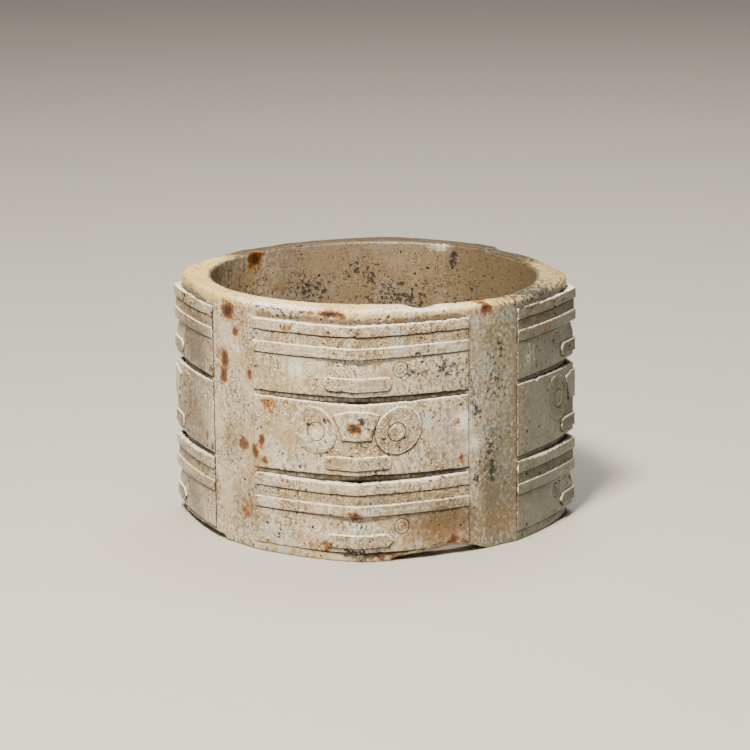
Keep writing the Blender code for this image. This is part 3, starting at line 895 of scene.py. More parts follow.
# %% [markdown]
# ## One stone
# All pieces are put in one list of points, and points that fall on the same step of a very fine
# grid become one. Each point keeps what the carving said of it: how much earth and painted shade
# it has, how worn and painted bright its edge is, how sandy it is, and whether it lies on a band.

# %% Join sheets and tube into one closed surface
KEYS = ("shelter", "edge", "sand", "band")
STEPS_PER_MM = 2000


def joined():
    """Places, faces and finish values of the whole stone."""
    places, faces, start = [], [], 0
    values = {key: [] for key in KEYS}
    for sheet in sheets:
        places.append(sheet["places"])
        faces += (sheet["faces"] + start).tolist()
        for key in KEYS:
            values[key].append(sheet[key])
        start += len(sheet["places"])
    count = len(rows[0])
    for upper in range(len(rows) - 1):
        for column in range(count):
            after = (column + 1) % count
            here, there = start + upper * count, start + (upper + 1) * count
            faces.append([here + column, here + after, there + after, there + column])
    places.append(np.concatenate(rows))
    for key in KEYS:
        values[key].append(np.zeros(count * len(rows)))
    places = np.concatenate(places)
    values = {key: np.concatenate(values[key]) for key in KEYS}
    steps = np.round(places * STEPS_PER_MM).astype(np.int64)
    first, renamed = np.unique(steps, axis=0, return_index=True, return_inverse=True)[1:]
    renamed = renamed.reshape(-1)
    clean = []
    for face in faces:
        corners = list(dict.fromkeys(int(renamed[index]) for index in face))
        if len(corners) > 2:
            clean.append(corners)
    return places[first], clean, {key: values[key][first] for key in KEYS}


places, faces, values = joined()
print("the stone has", len(places), "points and", len(faces), "faces")

# %% [markdown]
# ## What time has done
# The rim is worn down over its right-hand half, with a notch at the front of the bore; two long
# chips are broken out of the foot, and the top edges of the blocks are bruised. Each is a move
# of points by a rule in turn and height. Turns are measured in degrees from the front ridge, to
# the right. A bruise is its turn, height, span in degrees, half height and depth.

# %% Where the damage is
FOOT_CHIPS = [
    {"turns": (9, 10.4, 11.8, 19.1, 26.7, 32.4, 36.5, 40, 41.5),
     "outer": (0, 0.8, 1.25, 1.96, 3.08, 2.59, 1.4, 0.5, 0),
     "inner": (0, 0, 0, 0, 0.8, 1.16, 0.8, 0.2, 0)},
    {"turns": (-88, -80, -65.7, -60, -55.1, -50.2, -48.1, -46),
     "outer": (0, 0.9, 1.35, 1.5, 1.57, 0.97, 0.25, 0),
     "inner": (0, 0.3, 0.5, 0.6, 0.6, 0.3, 0.1, 0)},
]
RIM_WEAR = {"turns": (-180, 12, 25, 50, 75, 97, 136, 138.5, 139.5, 180),
            "drop": (0, 0, 0.55, 0.85, 0.85, 0.5, 0.5, 0.45, 0, 0)}
NOTCH = {"turns": (14.0, 19.9, 26.0), "drop": (0, 0.95, 0)}
BATTERED = [(-60, 47.0, 5, 1.4, 1.3), (-73, 46.8, 6, 1.5, 1.2), (62, 47.0, 12, 1.2, 0.8),
            (80, 46.6, 6, 1.5, 0.7), (-1.5, 46.3, 3.5, 1.1, 0.75), (-12, 47.1, 9, 0.6, 0.35),
            (20, 47.2, 9, 0.5, 0.3), (-1, 1.9, 3.5, 1.0, 0.5), (0.3, 31.4, 2.5, 0.5, 0.2)]
BRUISED_FROM = 37.4


def turns_of(places):
    """Turn of each place from the front ridge in degrees, from -180 to 180."""
    turns = np.degrees(np.arctan2(places[:, 1], places[:, 0]) - FRONT_RIDGE)
    return (turns + 180) % 360 - 180


def rough(places, size, seed):
    """Noise between about -1 and 1 with a given size in millimetres."""
    shift = Vector((seed, seed * 0.7, seed * 1.3))
    return np.array([noise.noise(Vector(place) / size + shift) for place in places])


print("the notch is", NOTCH["drop"][1], "mm deep at", NOTCH["turns"][1], "degrees")

# %% [markdown]
# ## Breaking and wearing
# Nothing is cut away from the mesh. The foot under a chip is folded up onto a sloping break,
# the rim is pressed down, and a bruise is pushed in, so the stone stays one closed surface.
# The rim's swell and grain are a pair of depths: on the left, and what the worn right adds.

# %% Break the foot, wear the rim, bruise the blocks
FOOT_WIDTH = 5.2
WALL_PART = 0.4
WALL_DRAWN_IN = 2.0
FOOT_DRAWN_IN = 0.8
RAGGED_BREAK = 0.22
NOTCH_TALL = 3.7
RIM_SWELL = (0.03, 0.07)
RIM_GRAIN = (0.02, 0.05)
RIM_PITS = 0.30


def break_foot(places, chip):
    """Fold the foot up onto a sloping break, the outer wall's lowest part included."""
    turns = turns_of(places)
    radius = np.hypot(places[:, 0], places[:, 1])
    outer = np.interp(turns, chip["turns"], chip["outer"], 0, 0)
    inner = np.interp(turns, chip["turns"], chip["inner"], 0, 0)
    ragged = 1 + RAGGED_BREAK * rough(places, 1.3, 5)
    outer, inner = outer * ragged, inner * ragged
    on_wall = (radius > BORE_RADIUS + 3) & (places[:, 2] < outer) & (places[:, 2] > 0.02)
    on_foot = (places[:, 2] <= 0.02) & (outer > 0.01)
    share = np.where(on_wall, WALL_PART * (1 - places[:, 2] / np.maximum(outer, 0.01)), 0)
    across = np.clip((BORE_RADIUS + FOOT_WIDTH - radius) / FOOT_WIDTH, 0, 1)
    share = np.where(on_foot, WALL_PART + (1 - WALL_PART) * across, share)
    moved = on_wall | on_foot
    height = outer * (1 - share) + inner * share
    drawn = np.where(on_wall, radius - share * WALL_DRAWN_IN, radius)
    outwards = np.clip((radius - BORE_RADIUS) / FOOT_WIDTH, 0, 1)
    drawn = np.where(on_foot, radius - FOOT_DRAWN_IN * outwards, drawn)
    scale = np.where(moved, drawn / radius, 1)
    in_bore = (radius < BORE_RADIUS + 0.3) & (places[:, 2] < inner)
    places[:, 2] = np.where(moved, height, np.where(in_bore, inner, places[:, 2]))
    places[:, 0] *= scale
    places[:, 1] *= scale
    return moved | in_bore


def wear_rim(places):
    """Lower the rim where it is worn, and cut the notch into the edge of the bore."""
    turns = turns_of(places)
    radius = np.hypot(places[:, 0], places[:, 1])
    drop = np.interp(turns, RIM_WEAR["turns"], RIM_WEAR["drop"])
    near_top = smooth(places[:, 2], BLOCK_TOP + 0.3, HEIGHT - 0.2)
    notch = np.interp(turns, NOTCH["turns"], NOTCH["drop"], 0, 0)
    notch *= smooth(-radius, -BORE_RADIUS - 4.5, -BORE_RADIUS - 0.5)
    right = smooth(turns, 10, 60) * smooth(-turns, -150, -120)
    pitted = RIM_PITS * np.maximum(rough(places, 1.1, 9), 0) * right
    uneven = (RIM_SWELL[0] + RIM_SWELL[1] * right) * (1 + rough(places, 7, 2))
    uneven += (RIM_GRAIN[0] + RIM_GRAIN[1] * right) * (1 + rough(places, 2.2, 4)) + pitted
    notch *= smooth(places[:, 2], HEIGHT - NOTCH_TALL, HEIGHT)
    places[:, 2] -= near_top * (drop + uneven) + notch


def batter(places):
    """Knock the top edges of the blocks in where they are bruised."""
    turns = turns_of(places)
    radius = np.hypot(places[:, 0], places[:, 1])
    for turn, height, span, tall, depth in BATTERED:
        near = np.exp(-((turns - turn) / span) ** 2 - ((places[:, 2] - height) / tall) ** 2)
        lumps = np.clip(0.55 + 1.1 * rough(places, 2.3, turn), 0, 1.3)
        push = depth * near * lumps * (radius > BRUISED_FROM)
        places[:, 0] *= 1 - push / radius
        places[:, 1] *= 1 - push / radius
        places[:, 2] -= 0.5 * push * smooth(places[:, 2], BLOCK_TOP - 1.2, BLOCK_TOP)


wear_rim(places)
batter(places)
broken = break_foot(places, FOOT_CHIPS[0]) | break_foot(places, FOOT_CHIPS[1])
print("broken points at the foot:", int(broken.sum()))

# %% [markdown]
# ## Stains and specks
# Rust blooms, black specks, salt bloom and warm or brown tints sit where burial left them. Some
# brown and warm spots also darken the side blocks and the low right of the front tier as painted
# shade, and some pale spots are painted highlights on the front rim and in the bore. Each is a
# soft spot: its turn in degrees, its height, half width and half height in millimetres, and its
# strength from 0 to 1. Spots in a list that ends in INSIDE lie on the bore. They were placed one
# by one. Those on the back, and those low in the bore, are guesses.

# %% Where the stains lie
RUST_SPOTS = [(-46.0, 47.0, 2.2, 2.0, 1.0), (-42.6, 43.2, 1.1, 1.0, 0.9), (-47.8, 37.3, 1.2, 2.0, 1.0),
              (-48.5, 34.0, 1.1, 2.2, 0.9), (-54.0, 34.4, 0.9, 1.0, 0.9), (-36.0, 35.3, 0.8, 1.3, 0.8),
              (-21.6, 45.6, 1.5, 0.9, 0.55), (68.5, 41.1, 1.3, 1.2, 0.8), (41.0, 48.4, 1.6, 1.4, 0.95),
              (-0.7, 27.1, 1.2, 1.1, 1.0), (-34.0, 20.0, 1.0, 1.5, 1.0), (-31.2, 22.4, 0.8, 1.7, 0.9),
              (-39.5, 21.0, 1.6, 1.4, 0.9), (-30.0, 18.4, 0.9, 0.8, 0.8), (30.0, 26.8, 0.8, 0.7, 0.7),
              (31.6, 19.3, 0.9, 1.0, 0.8), (-0.6, 9.5, 1.2, 0.9, 1.0), (28.8, 3.3, 1.5, 1.2, 0.8),
              (-38.8, 7.2, 1.2, 1.8, 0.7), (-28.8, 29.8, 2.0, 1.8, 0.55), (-54.5, 18.4, 0.9, 1.1, 0.9),
              (-58.5, 20.2, 0.8, 1.0, 0.8), (-7.5, 49.2, 2.4, 0.8, 1.0), (-5.0, 48.8, 2.0, 0.6, 0.9),
              (-14.0, 49.0, 3.0, 0.5, 0.6), (-10.0, 3.0, 4.0, 1.2, 0.5), (8.0, 1.0, 5.0, 0.8, 0.6),
              (95.0, 25.0, 1.5, 2.0, 0.6), (132.0, 12.0, 2.0, 1.6, 0.8), (150.0, 36.0, 1.4, 1.8, 0.8),
              (176.0, 20.0, 1.6, 1.2, 0.7), (-160.0, 44.0, 2.0, 1.5, 0.8), (-136.0, 15.0, 1.4, 2.4, 0.8),
              (-115.0, 34.0, 1.4, 1.2, 0.7), (-100.0, 8.0, 1.6, 1.5, 0.7)]
RUST_INSIDE = [(-126.0, 49.0, 2.6, 2.2, 1.0), (-150.0, 43.0, 1.2, 1.0, 0.4), (165, 43, 1.4, 1.2, 0.35)]
BLACK_SPOTS = [(-78.5, 45.9, 1.0, 1.4, 1.0), (66.0, 49.3, 13.0, 1.5, 0.98), (-0.5, 45.6, 1.4, 1.0, 0.9),
               (-22.0, 48.8, 10.0, 0.7, 0.80), (-44.0, 23.0, 4.5, 11.0, 0.34),
               (-34.0, 26.0, 5.0, 4.0, 0.30), (27.0, 37.5, 7.0, 3.6, 0.56),
               (45.0, 34.0, 4.0, 11.0, 0.46), (43.0, 19.0, 3.5, 7.0, 0.5),
               (1.4, 28.5, 0.9, 1.0, 1.0), (0.8, 23.6, 2.2, 0.6, 0.7),
               (-6.8, 22.4, 1.1, 0.8, 0.8), (15.6, 37.2, 1.6, 0.7, 0.9), (17.6, 41.2, 1.6, 0.5, 0.9),
               (37.0, 28.0, 1.6, 2.6, 0.8), (43.5, 16.0, 1.2, 3.4, 1.0), (37.0, 14.7, 1.0, 1.4, 0.9),
               (42.8, 20.9, 1.0, 2.4, 0.7), (47.0, 40.2, 1.3, 2.2, 0.8), (-14.0, 27.1, 1.4, 0.5, 0.9),
               (-9.0, 28.2, 1.2, 0.6, 0.9), (-42.5, 31.0, 1.0, 1.2, 0.6), (-1.0, 2.2, 2.6, 0.9, 0.9),
               (24.0, 29.0, 2.5, 2.4, 0.4), (120.0, 30.0, 1.6, 3.0, 0.8), (165.0, 10.0, 1.8, 1.6, 0.7),
               (-150.0, 26.0, 1.4, 2.6, 0.8), (-95.0, 40.0, 1.2, 2.0, 0.7)]
BLACK_INSIDE = [(145.6, 42.1, 1.6, 1.6, 1.0), (135.7, 42.5, 1.4, 1.6, 1.0), (153.8, 47.2, 1.4, 2.2, 0.9),
                (138.0, 47.0, 1.0, 1.0, 0.5), (160.0, 46.0, 4.0, 2.0, 0.5), (-150.0, 40.0, 9.0, 4.0, 0.68),
                (175.0, 38.5, 12.0, 4.5, 0.70), (-170.0, 44.0, 6.0, 3.0, 0.6),
                (-109.3, 45.8, 0.45, 3.2, 1.0), (-125.0, 41.0, 9.0, 3.0, 0.55),
                (150.0, 38.0, 9.0, 4.0, 0.5)]
# salt bloom; the long spots on the front rim, at turns 22 and -25, are painted highlights
PALE_SPOTS_AND_HIGHLIGHTS = [(33.0, 27.0, 3.0, 3.0, 0.8), (36.0, 22.0, 3.0, 2.0, 0.7), (60.0, 37.0, 2.5, 3.5, 0.4),
              (-12.0, 25.0, 5.0, 3.0, 0.5), (-18.0, 37.5, 4.0, 3.0, 0.5),
              (22.0, 49.8, 14.0, 0.8, 0.9), (66.0, 49.4, 12.0, 1.2, 0.5),
              (-25.0, 49.6, 14.0, 0.7, 0.9), (-44.0, 41.0, 3.5, 3.0, 0.4), (-14.0, 6.0, 5.0, 2.5, 0.4)]
# painted highlights on the far wall of the bore, near its rim
PAINTED_HIGHLIGHTS_INSIDE = [(159.7, 49.3, 3.6, 1.1, 0.62), (170.1, 44.8, 0.7, 0.5, 0.9)]
# warm tints; the spot low on the right of the front tier, at turn 24, is painted shade as well
WARM_SPOTS_AND_SHADE = [(24.0, 4.5, 11, 4.0, 0.7), (-36.0, 9.0, 6, 9, 0.55), (46.0, 5.0, 8, 5, 0.6),
              (-8.0, 44.6, 5, 1.5, 0.5), (15.0, 50.0, 6, 1.0, 0.9), (-60.0, 10.0, 7, 6, 0.5),
              (52.4, 25.0, 0.8, 20, 0.8), (-10.0, 12.0, 14, 5, 0.25)]
EARTH_INSIDE = [(-152.0, 36.5, 13, 4.5, 0.56), (178.0, 35.0, 13, 4.0, 0.52), (150.0, 36.0, 9, 3.5, 0.46),
                (-124.0, 38.0, 6, 6, 0.42), (-170.0, 46.5, 9, 2.0, 0.34), (128.0, 41.0, 7, 5, 0.36),
                (-90.0, 20.0, 20, 9, 0.5), (0.0, 22.0, 30, 9, 0.5), (90.0, 18.0, 20, 9, 0.5)]
# brown stains; on the side blocks and low on the right of the front tier they are painted shade as well
BROWN_SPOTS_AND_SHADE = [(-68.0, 38.0, 11, 10, 0.95), (-70.0, 22.0, 10, 12, 0.75), (-72.0, 6.0, 8, 6, 0.8),
               (26.0, 7.5, 11, 4.5, 1.0), (10.0, 12.0, 12, 2.0, 0.6), (44.0, 12.0, 5, 14, 0.85),
               (43.0, 42.0, 4.5, 5, 0.45), (24.0, 37.0, 7, 4, 0.45), (28.0, 24.0, 7, 7, 0.5),
               (-44.0, 20.0, 4, 10, 0.45), (-40.0, 8.0, 6, 6, 0.5), (66.0, 10.0, 9, 6, 0.8),
               (72.0, 38.0, 10, 9, 0.5),
               (120.0, 12.0, 14, 8, 0.6), (-110.0, 14.0, 12, 8, 0.6), (160.0, 34.0, 9, 5, 0.5),
               (-160.0, 20.0, 10, 8, 0.5), (-120.0, 40.0, 8, 5, 0.45)]
print("rust blooms:", len(RUST_SPOTS + RUST_INSIDE), "black:", len(BLACK_SPOTS + BLACK_INSIDE))

# %% [markdown]
# ## From spots to values
# Every point of the stone gets a value from 0 to 1 for each kind of stain, the strongest spot
# that reaches it. A few values follow from the place alone: the bore, whose left wall is kept
# lighter as painted light, the rim, the cooler right side, whose tint also darkens it as painted
# shade, the dark back of the rim and the earth on the ledge over each block. The material later
# breaks these soft values up with noise, so that the edges of a stain are ragged.

# %% Values for the finish
SPOT_RADIUS = 38.0


def blooms(places, spots):
    """The strongest of the soft spots at each place."""
    turns = turns_of(places)
    strongest = np.zeros(len(places))
    for turn, height, wide, tall, strength in spots:
        gap = (turns - turn + 180) % 360 - 180
        across = np.radians(gap) * SPOT_RADIUS
        spot = strength * np.exp(-(across / wide) ** 2 - ((places[:, 2] - height) / tall) ** 2)
        strongest = np.maximum(strongest, spot)
    return strongest


def finish_values():
    """All the values that the material reads, by name."""
    radius = np.hypot(places[:, 0], places[:, 1])
    bore = smooth(-radius, -BORE_RADIUS - 0.9, -BORE_RADIUS - 0.1)
    outside = 1 - bore
    rim = smooth(places[:, 2], HEIGHT - 2.6, HEIGHT - 1.2) * outside
    found = dict(values)
    turns = turns_of(places)
    # the left wall of the bore gets less of the bore's tint, so it is lighter, as painted light
    left_bore_painted_light = smooth(-turns, 85, 105) * smooth(turns, -160, -130)
    found["bore"] = bore * (1 - 0.46 * left_bore_painted_light)
    found["rim"] = rim
    for name, seen, inside in (("rust", RUST_SPOTS, RUST_INSIDE), ("soot", BLACK_SPOTS, BLACK_INSIDE),
                               ("warm_and_shade", WARM_SPOTS_AND_SHADE, []), ("brown_and_shade", BROWN_SPOTS_AND_SHADE, []),
                               ("pale_and_highlight", PALE_SPOTS_AND_HIGHLIGHTS, PAINTED_HIGHLIGHTS_INSIDE)):
        found[name] = np.maximum(outside * blooms(places, seen), bore * blooms(places, inside))
    # greyer tint on the right side, which also darkens it as painted shade, away from the light
    found["cool_side_and_shade"] = smooth(turns, 10, 72) * smooth(-turns, -180, -130) * (1 - 0.4 * rim)
    on_top = smooth(places[:, 2], HEIGHT - 1.6, HEIGHT - 1.0)
    on_top *= smooth(radius, BORE_RADIUS + 0.02, BORE_RADIUS + 0.15)
    found["back"] = on_top * smooth(np.abs(turns), 95, 140)
    from_ridge = np.abs((turns + 45) % 90 - 45)
    over_block = smooth(-from_ridge, -34, -31)
    ledge = smooth(places[:, 2], BLOCK_TOP - 0.05, BLOCK_TOP + 0.1)
    ledge *= smooth(-places[:, 2], -BLOCK_TOP - 1.8, -BLOCK_TOP - 0.4)
    found["ledge"] = ledge * outside * over_block + bore * blooms(places, EARTH_INSIDE)
    return found


finish = finish_values()
print("finish values:", sorted(finish))

# %% [markdown]
# ## Weathering the surface
# A second node tree roughens the stone the way burial does. Slow swells and a fine grain move
# the surface both ways along its normal, and a scatter of small pits goes inwards.

# %% The weathering tree
WEATHER_SEED = 4.0
PIT_EDGE = (0.12, 0.26)
PIT_RARITY = 0.62


def weathering_tree():
    """Swells and grain both ways about the surface, and pits cut into it."""
    tree, given = new_tree("weather the stone", {
        "Swell Size": 7 * MM, "Swell Depth": 0.14 * MM, "Grain Size": 1.6 * MM,
        "Grain Depth": 0.09 * MM, "Pit Spacing": 2.4 * MM, "Pit Depth": 0.22 * MM,
        "Seed": WEATHER_SEED})
    math_node = "ShaderNodeMath"
    place = add(tree, "GeometryNodeInputPosition").outputs[0]
    normal = add(tree, "GeometryNodeInputNormal").outputs[0]
    total = None
    for size, depth, detail in (("Swell Size", "Swell Depth", 1.0), ("Grain Size", "Grain Depth", 3.0)):
        scale = add(tree, math_node, {0: 1.0, 1: given[size]}, operation='DIVIDE').outputs[0]
        cloud = add(tree, "ShaderNodeTexNoise", {"Vector": place, "W": given["Seed"], "Scale": scale,
                                                 "Detail": detail}, noise_dimensions='4D').outputs[0]
        middle = add(tree, math_node, {0: cloud, 1: -0.5}, operation='ADD').outputs[0]
        cut = add(tree, math_node, {0: middle, 1: given[depth]}, operation='MULTIPLY').outputs[0]
        total = cut if total is None else add(tree, math_node, {0: total, 1: cut},
                                              operation='ADD').outputs[0]
    scale = add(tree, math_node, {0: 1.0, 1: given["Pit Spacing"]}, operation='DIVIDE').outputs[0]
    cells = add(tree, "ShaderNodeTexVoronoi", {"Vector": place, "Scale": scale})
    hole = add(tree, "ShaderNodeMapRange", {"Value": cells.outputs["Distance"],
                                            "From Min": PIT_EDGE[0], "From Max": PIT_EDGE[1],
                                            "To Min": 1.0, "To Max": 0.0},
               interpolation_type='SMOOTHSTEP').outputs[0]
    lot = add(tree, "ShaderNodeSeparateXYZ", {0: cells.outputs["Color"]}).outputs[0]
    chosen = add(tree, math_node, {0: lot, 1: PIT_RARITY}, operation='GREATER_THAN').outputs[0]
    pit = add(tree, math_node, {0: hole, 1: chosen}, operation='MULTIPLY').outputs[0]
    pit = add(tree, math_node, {0: pit, 1: given["Pit Depth"]}, operation='MULTIPLY').outputs[0]
    total = add(tree, math_node, {0: total, 1: pit}, operation='ADD').outputs[0]
    inward = add(tree, math_node, {0: total, 1: -1.0}, operation='MULTIPLY').outputs[0]
    move = add(tree, "ShaderNodeVectorMath", {0: normal, "Scale": inward}, operation='SCALE').outputs[0]
    moved = add(tree, "GeometryNodeSetPosition", {"Geometry": given["Geometry"],
                                                  "Offset": move}).outputs[0]
    real = add(tree, "GeometryNodeRealizeInstances", {0: moved}).outputs[0]
    painted = add(tree, "GeometryNodeSetMaterial", {"Geometry": real, "Material": STONE}).outputs[0]
    add(tree, "NodeGroupOutput", {0: painted})
    return tree


WEATHER = weathering_tree()
print("the weathering tree has", len(WEATHER.nodes), "nodes")

# %% [markdown]
# ## The finished piece
# The values go onto the points as attributes, where the material will read them, and the tree's
# result becomes a plain mesh. A swell can lift a point past the measured box, so the points are
# held a thousandth of a millimetre inside it. Edges sharper than an angle stay crisp in the
# shading and all others are smooth.

# %% Make the stone
INSIDE_BOX = 0.001
SHARP_ANGLE = math.radians(38)


def make_stone():
    """The finished piece, a plain mesh with its finish values on its points."""
    mesh = bpy.data.meshes.new("weathered")
    mesh.from_pydata(places * MM, [], faces)
    for name, value in finish.items():
        layer = mesh.attributes.new(name, 'FLOAT', 'POINT')
        layer.data.foreach_set("value", value.astype(np.float32))
    item = bpy.data.objects.new("cong_stone", mesh)
    bpy.context.scene.collection.objects.link(item)
    weathered = applied(item, WEATHER, {"Seed": WEATHER_SEED})
    spots = places_of(weathered)
    low = np.array(CAD_BOX[0]) / MM + INSIDE_BOX
    high = np.array(CAD_BOX[1]) / MM - INSIDE_BOX
    spots = np.clip(spots, low, high)
    weathered.vertices.foreach_set("co", (spots * MM).astype(np.float32).ravel())
    weathered.update()
    item.data = weathered
    bpy.data.meshes.remove(mesh)
    weathered.name = "cong_stone"
    weathered.shade_smooth()
    weathered.set_sharp_from_angle(angle=SHARP_ANGLE)
    return item


stone = make_stone()
shape = bmesh.new()
shape.from_mesh(stone.data)
open_edges = sum(1 for edge in shape.edges if len(edge.link_faces) != 2)
triangles = sum(len(face.verts) - 2 for face in shape.faces)
print("triangles:", triangles, "open edges:", open_edges, "volume cm3:",
      round(shape.calc_volume() * 1e6, 1))
shape.free()

# %% [markdown]
# ## The stone's finish
# This is nephrite that has altered in the ground: once translucent green, now opaque and
# chalky, a greyish cream with tan mottling. Its polish survives on the high places as a soft
# sheen, sandy ground stays in the recesses, and earth fills the grooves, darkened further with
# painted shade. Colours are the sRGB values that one would pick by eye, and one function turns
# them linear for the shader.
#
# Mottling and grain are each a colour, a lump size in millimetres, the noise values where the
# colour begins and is full, its strength, and a stretch that makes lumps longer upright where
# its last number is under 1. The real grain goes down to a tenth of a millimetre; 0.4 is the
# finest that shows. A stain is the value that it follows, its colour, where it begins and is
# full, and its strength.

# %% Colours of the stone


def linear(code):
    """An sRGB colour in hex as linear red, green, blue and alpha."""
    channels = [int(code[place:place + 2], 16) / 255 for place in (0, 2, 4)]
    return [value / 12.92 if value <= 0.04045 else ((value + 0.055) / 1.055) ** 2.4
            for value in channels] + [1.0]


BODY = "CDC0A4"
MOTTLING = [("B39C74", 14.0, 0.42, 0.62, 0.9, (1, 1, 1)),
            ("A08257", 4.6, 0.48, 0.70, 0.75, (1, 1, 0.7)),
            ("C9CCC4", 6.5, 0.52, 0.68, 0.7, (1, 1, 1)),
            ("DFDAC8", 2.4, 0.54, 0.70, 0.6, (1, 1, 1))]
GRAIN = [("76582F", 0.9, 0.49, 0.63, 0.78, (1, 1, 0.6)),
         ("5A4228", 0.40, 0.51, 0.62, 0.80, (1, 1, 1)),
         ("F5EFDE", 0.55, 0.54, 0.66, 0.78, (1, 1, 1))]
GROUND_SAND = "9C875F"
# Some coats paint light: the earth coat is also painted shade in grooves and under forms, the cool, warm
# and brown coats darken shaded sides, the edge coat is a painted highlight as well as wear, and the pale
# coat holds painted highlights on the rim and in the bore.
STAINS = [("rim", "F8D26E", 0.35, 1.00, 0.68), ("brown_and_shade", "543A12", 0.10, 1.00, 0.88),
          ("cool_side_and_shade", "515340", 0.05, 0.95, 0.86), ("warm_and_shade", "755327", 0.20, 0.85, 0.66),
          ("bore", "6F5B42", 0.30, 0.70, 0.76), ("back", "3B2E1E", 0.20, 0.60, 0.92),
          ("pale_and_highlight", "F5F1E6", 0.15, 0.85, 0.85), ("ledge", "573B20", 0.35, 0.80, 0.75),
          ("rust", "9A6414", 0.20, 0.42, 0.76), ("rust", "683800", 0.32, 0.60, 1.0),
          ("rust", "1F0A01", 0.62, 1.00, 0.94), ("shelter", "1E1007", 0.20, 0.85, 0.97),
          ("edge", "FBF5E4", 0.24, 0.64, 0.85)]
SPECK_BLACK = "140E09"
print("mottling, grain and stains:", len(MOTTLING), len(GRAIN), len(STAINS))

# %% [markdown]
# ## Clouds and coats
# Two recipes make most of the finish. A cloud is noise whose lumps have a real size, read from
# the stone's own coordinates, so it stays in place when the view changes. A coat is a colour
# laid over the ones before it wherever some value rises from low to high, like a thin wash.

# %% Two recipes


def cloud(tree, place, size, detail=4.0, stretch=(1, 1, 1)):
    """Noise whose lumps are of a size in millimetres."""
    spread = add(tree, "ShaderNodeMapping", {"Vector": place, "Scale": stretch}).outputs[0]
    return add(tree, "ShaderNodeTexNoise", {"Vector": spread, "Scale": 1 / (size * MM),
                                            "Detail": detail, "Roughness": 0.55}).outputs[0]


def coat(tree, colour, code, source, low, high, strength):
    """Lay a colour over another, more and more as the source rises from low to high."""
    share = add(tree, "ShaderNodeMapRange", {"Value": source, "From Min": low, "From Max": high},
                interpolation_type='SMOOTHSTEP').outputs[0]
    amount = add(tree, "ShaderNodeMath", {0: share, 1: strength}, operation='MULTIPLY').outputs[0]
    mix = add(tree, "ShaderNodeMix", {"Factor": amount, 6: colour, 7: linear(code)}, data_type='RGBA')
    return mix.outputs[2]


print("a black speck is", [round(channel, 4) for channel in linear(SPECK_BLACK)[:3]], "when linear")

# %% [markdown]
# ## The coats, from the body outwards
# First the body colour and its mottling, then the grain, which is stronger in some regions of
# the stone and where it is sandy, then the sand itself, and last the stains, among them painted
# shade and painted highlights. Noise is added to a stain's soft value before it is read, and that
# makes its edge ragged. Earth and painted shade in the grooves and the tint of the bore are less
# ragged than the rest.

# %% Lay the coats
RAGGED = {"shelter": 0.6, "bore": 0.5}
RAGGED_USUAL = 1.3
SANDY_GRAIN = 0.3
SAND_STRENGTH = 0.75


def lay_coats(tree, read):
    """The colour of the stone, without its specks."""
    math_node = "ShaderNodeMath"
    colour = linear(BODY)
    for code, size, low, high, strength, stretch in MOTTLING:
        lumps = cloud(tree, read["place"], size, stretch=stretch)
        colour = coat(tree, colour, code, lumps, low, high, strength)
    grainy = add(tree, "ShaderNodeMapRange", {"Value": read["region"], "From Min": 0.38,
                                              "From Max": 0.62, "To Min": 0.35, "To Max": 1.0},
                 interpolation_type='SMOOTHSTEP').outputs[0]
    grainy = add(tree, math_node, {0: read["sand"], 1: SANDY_GRAIN, 2: grainy},
                 operation='MULTIPLY_ADD').outputs[0]
    for code, size, low, high, strength, stretch in GRAIN:
        lumps = cloud(tree, read["place"], size, stretch=stretch)
        part = add(tree, math_node, {0: grainy, 1: strength}, operation='MULTIPLY').outputs[0]
        colour = coat(tree, colour, code, lumps, low, high, part)
    part = add(tree, math_node, {0: read["sand"], 1: SAND_STRENGTH}, operation='MULTIPLY').outputs[0]
    colour = coat(tree, colour, GROUND_SAND, read["dusty"], 0.40, 0.60, part)
    about_zero = add(tree, math_node, {0: read["fine"], 1: -0.5}, operation='ADD').outputs[0]
    for name, code, low, high, strength in STAINS:
        share = RAGGED.get(name, RAGGED_USUAL)
        ragged = add(tree, math_node, {0: about_zero, 1: share, 2: read[name]},
                     operation='MULTIPLY_ADD').outputs[0]
        colour = coat(tree, colour, code, ragged, low, high, strength)
    return colour


print("coats of colour:", len(MOTTLING) + len(GRAIN) + 1 + len(STAINS))

# %% [markdown]
# ## Black specks
# Burial leaves black specks from a dust to over a millimetre across. They come from three sizes
# of Voronoi cells, each speck in the middle of a cell. A cell's random colour decides whether
# it has a speck and how large, and the cells are shaken so that specks are not round. Crowds of
# them follow the soot, the sand, the ledges, the rim and the cool side.

# %% The mask of the specks
SPECKS = [(1.25, 0.34), (0.62, 0.36), (0.36, 0.42)]
SPECK_SHAKE = 0.55
SHAKE_SIZE = 0.5
SPECK_SHRINK = (2.0, 0.85)
CROWDED = [("soot", 0.5), ("sand", 0.15), ("ledge", 0.35), ("cool_side_and_shade", 0.08), ("rim", 0.10)]
SOOT_RAGGED = [("fine", 2.3), ("dusty", 1.2)]


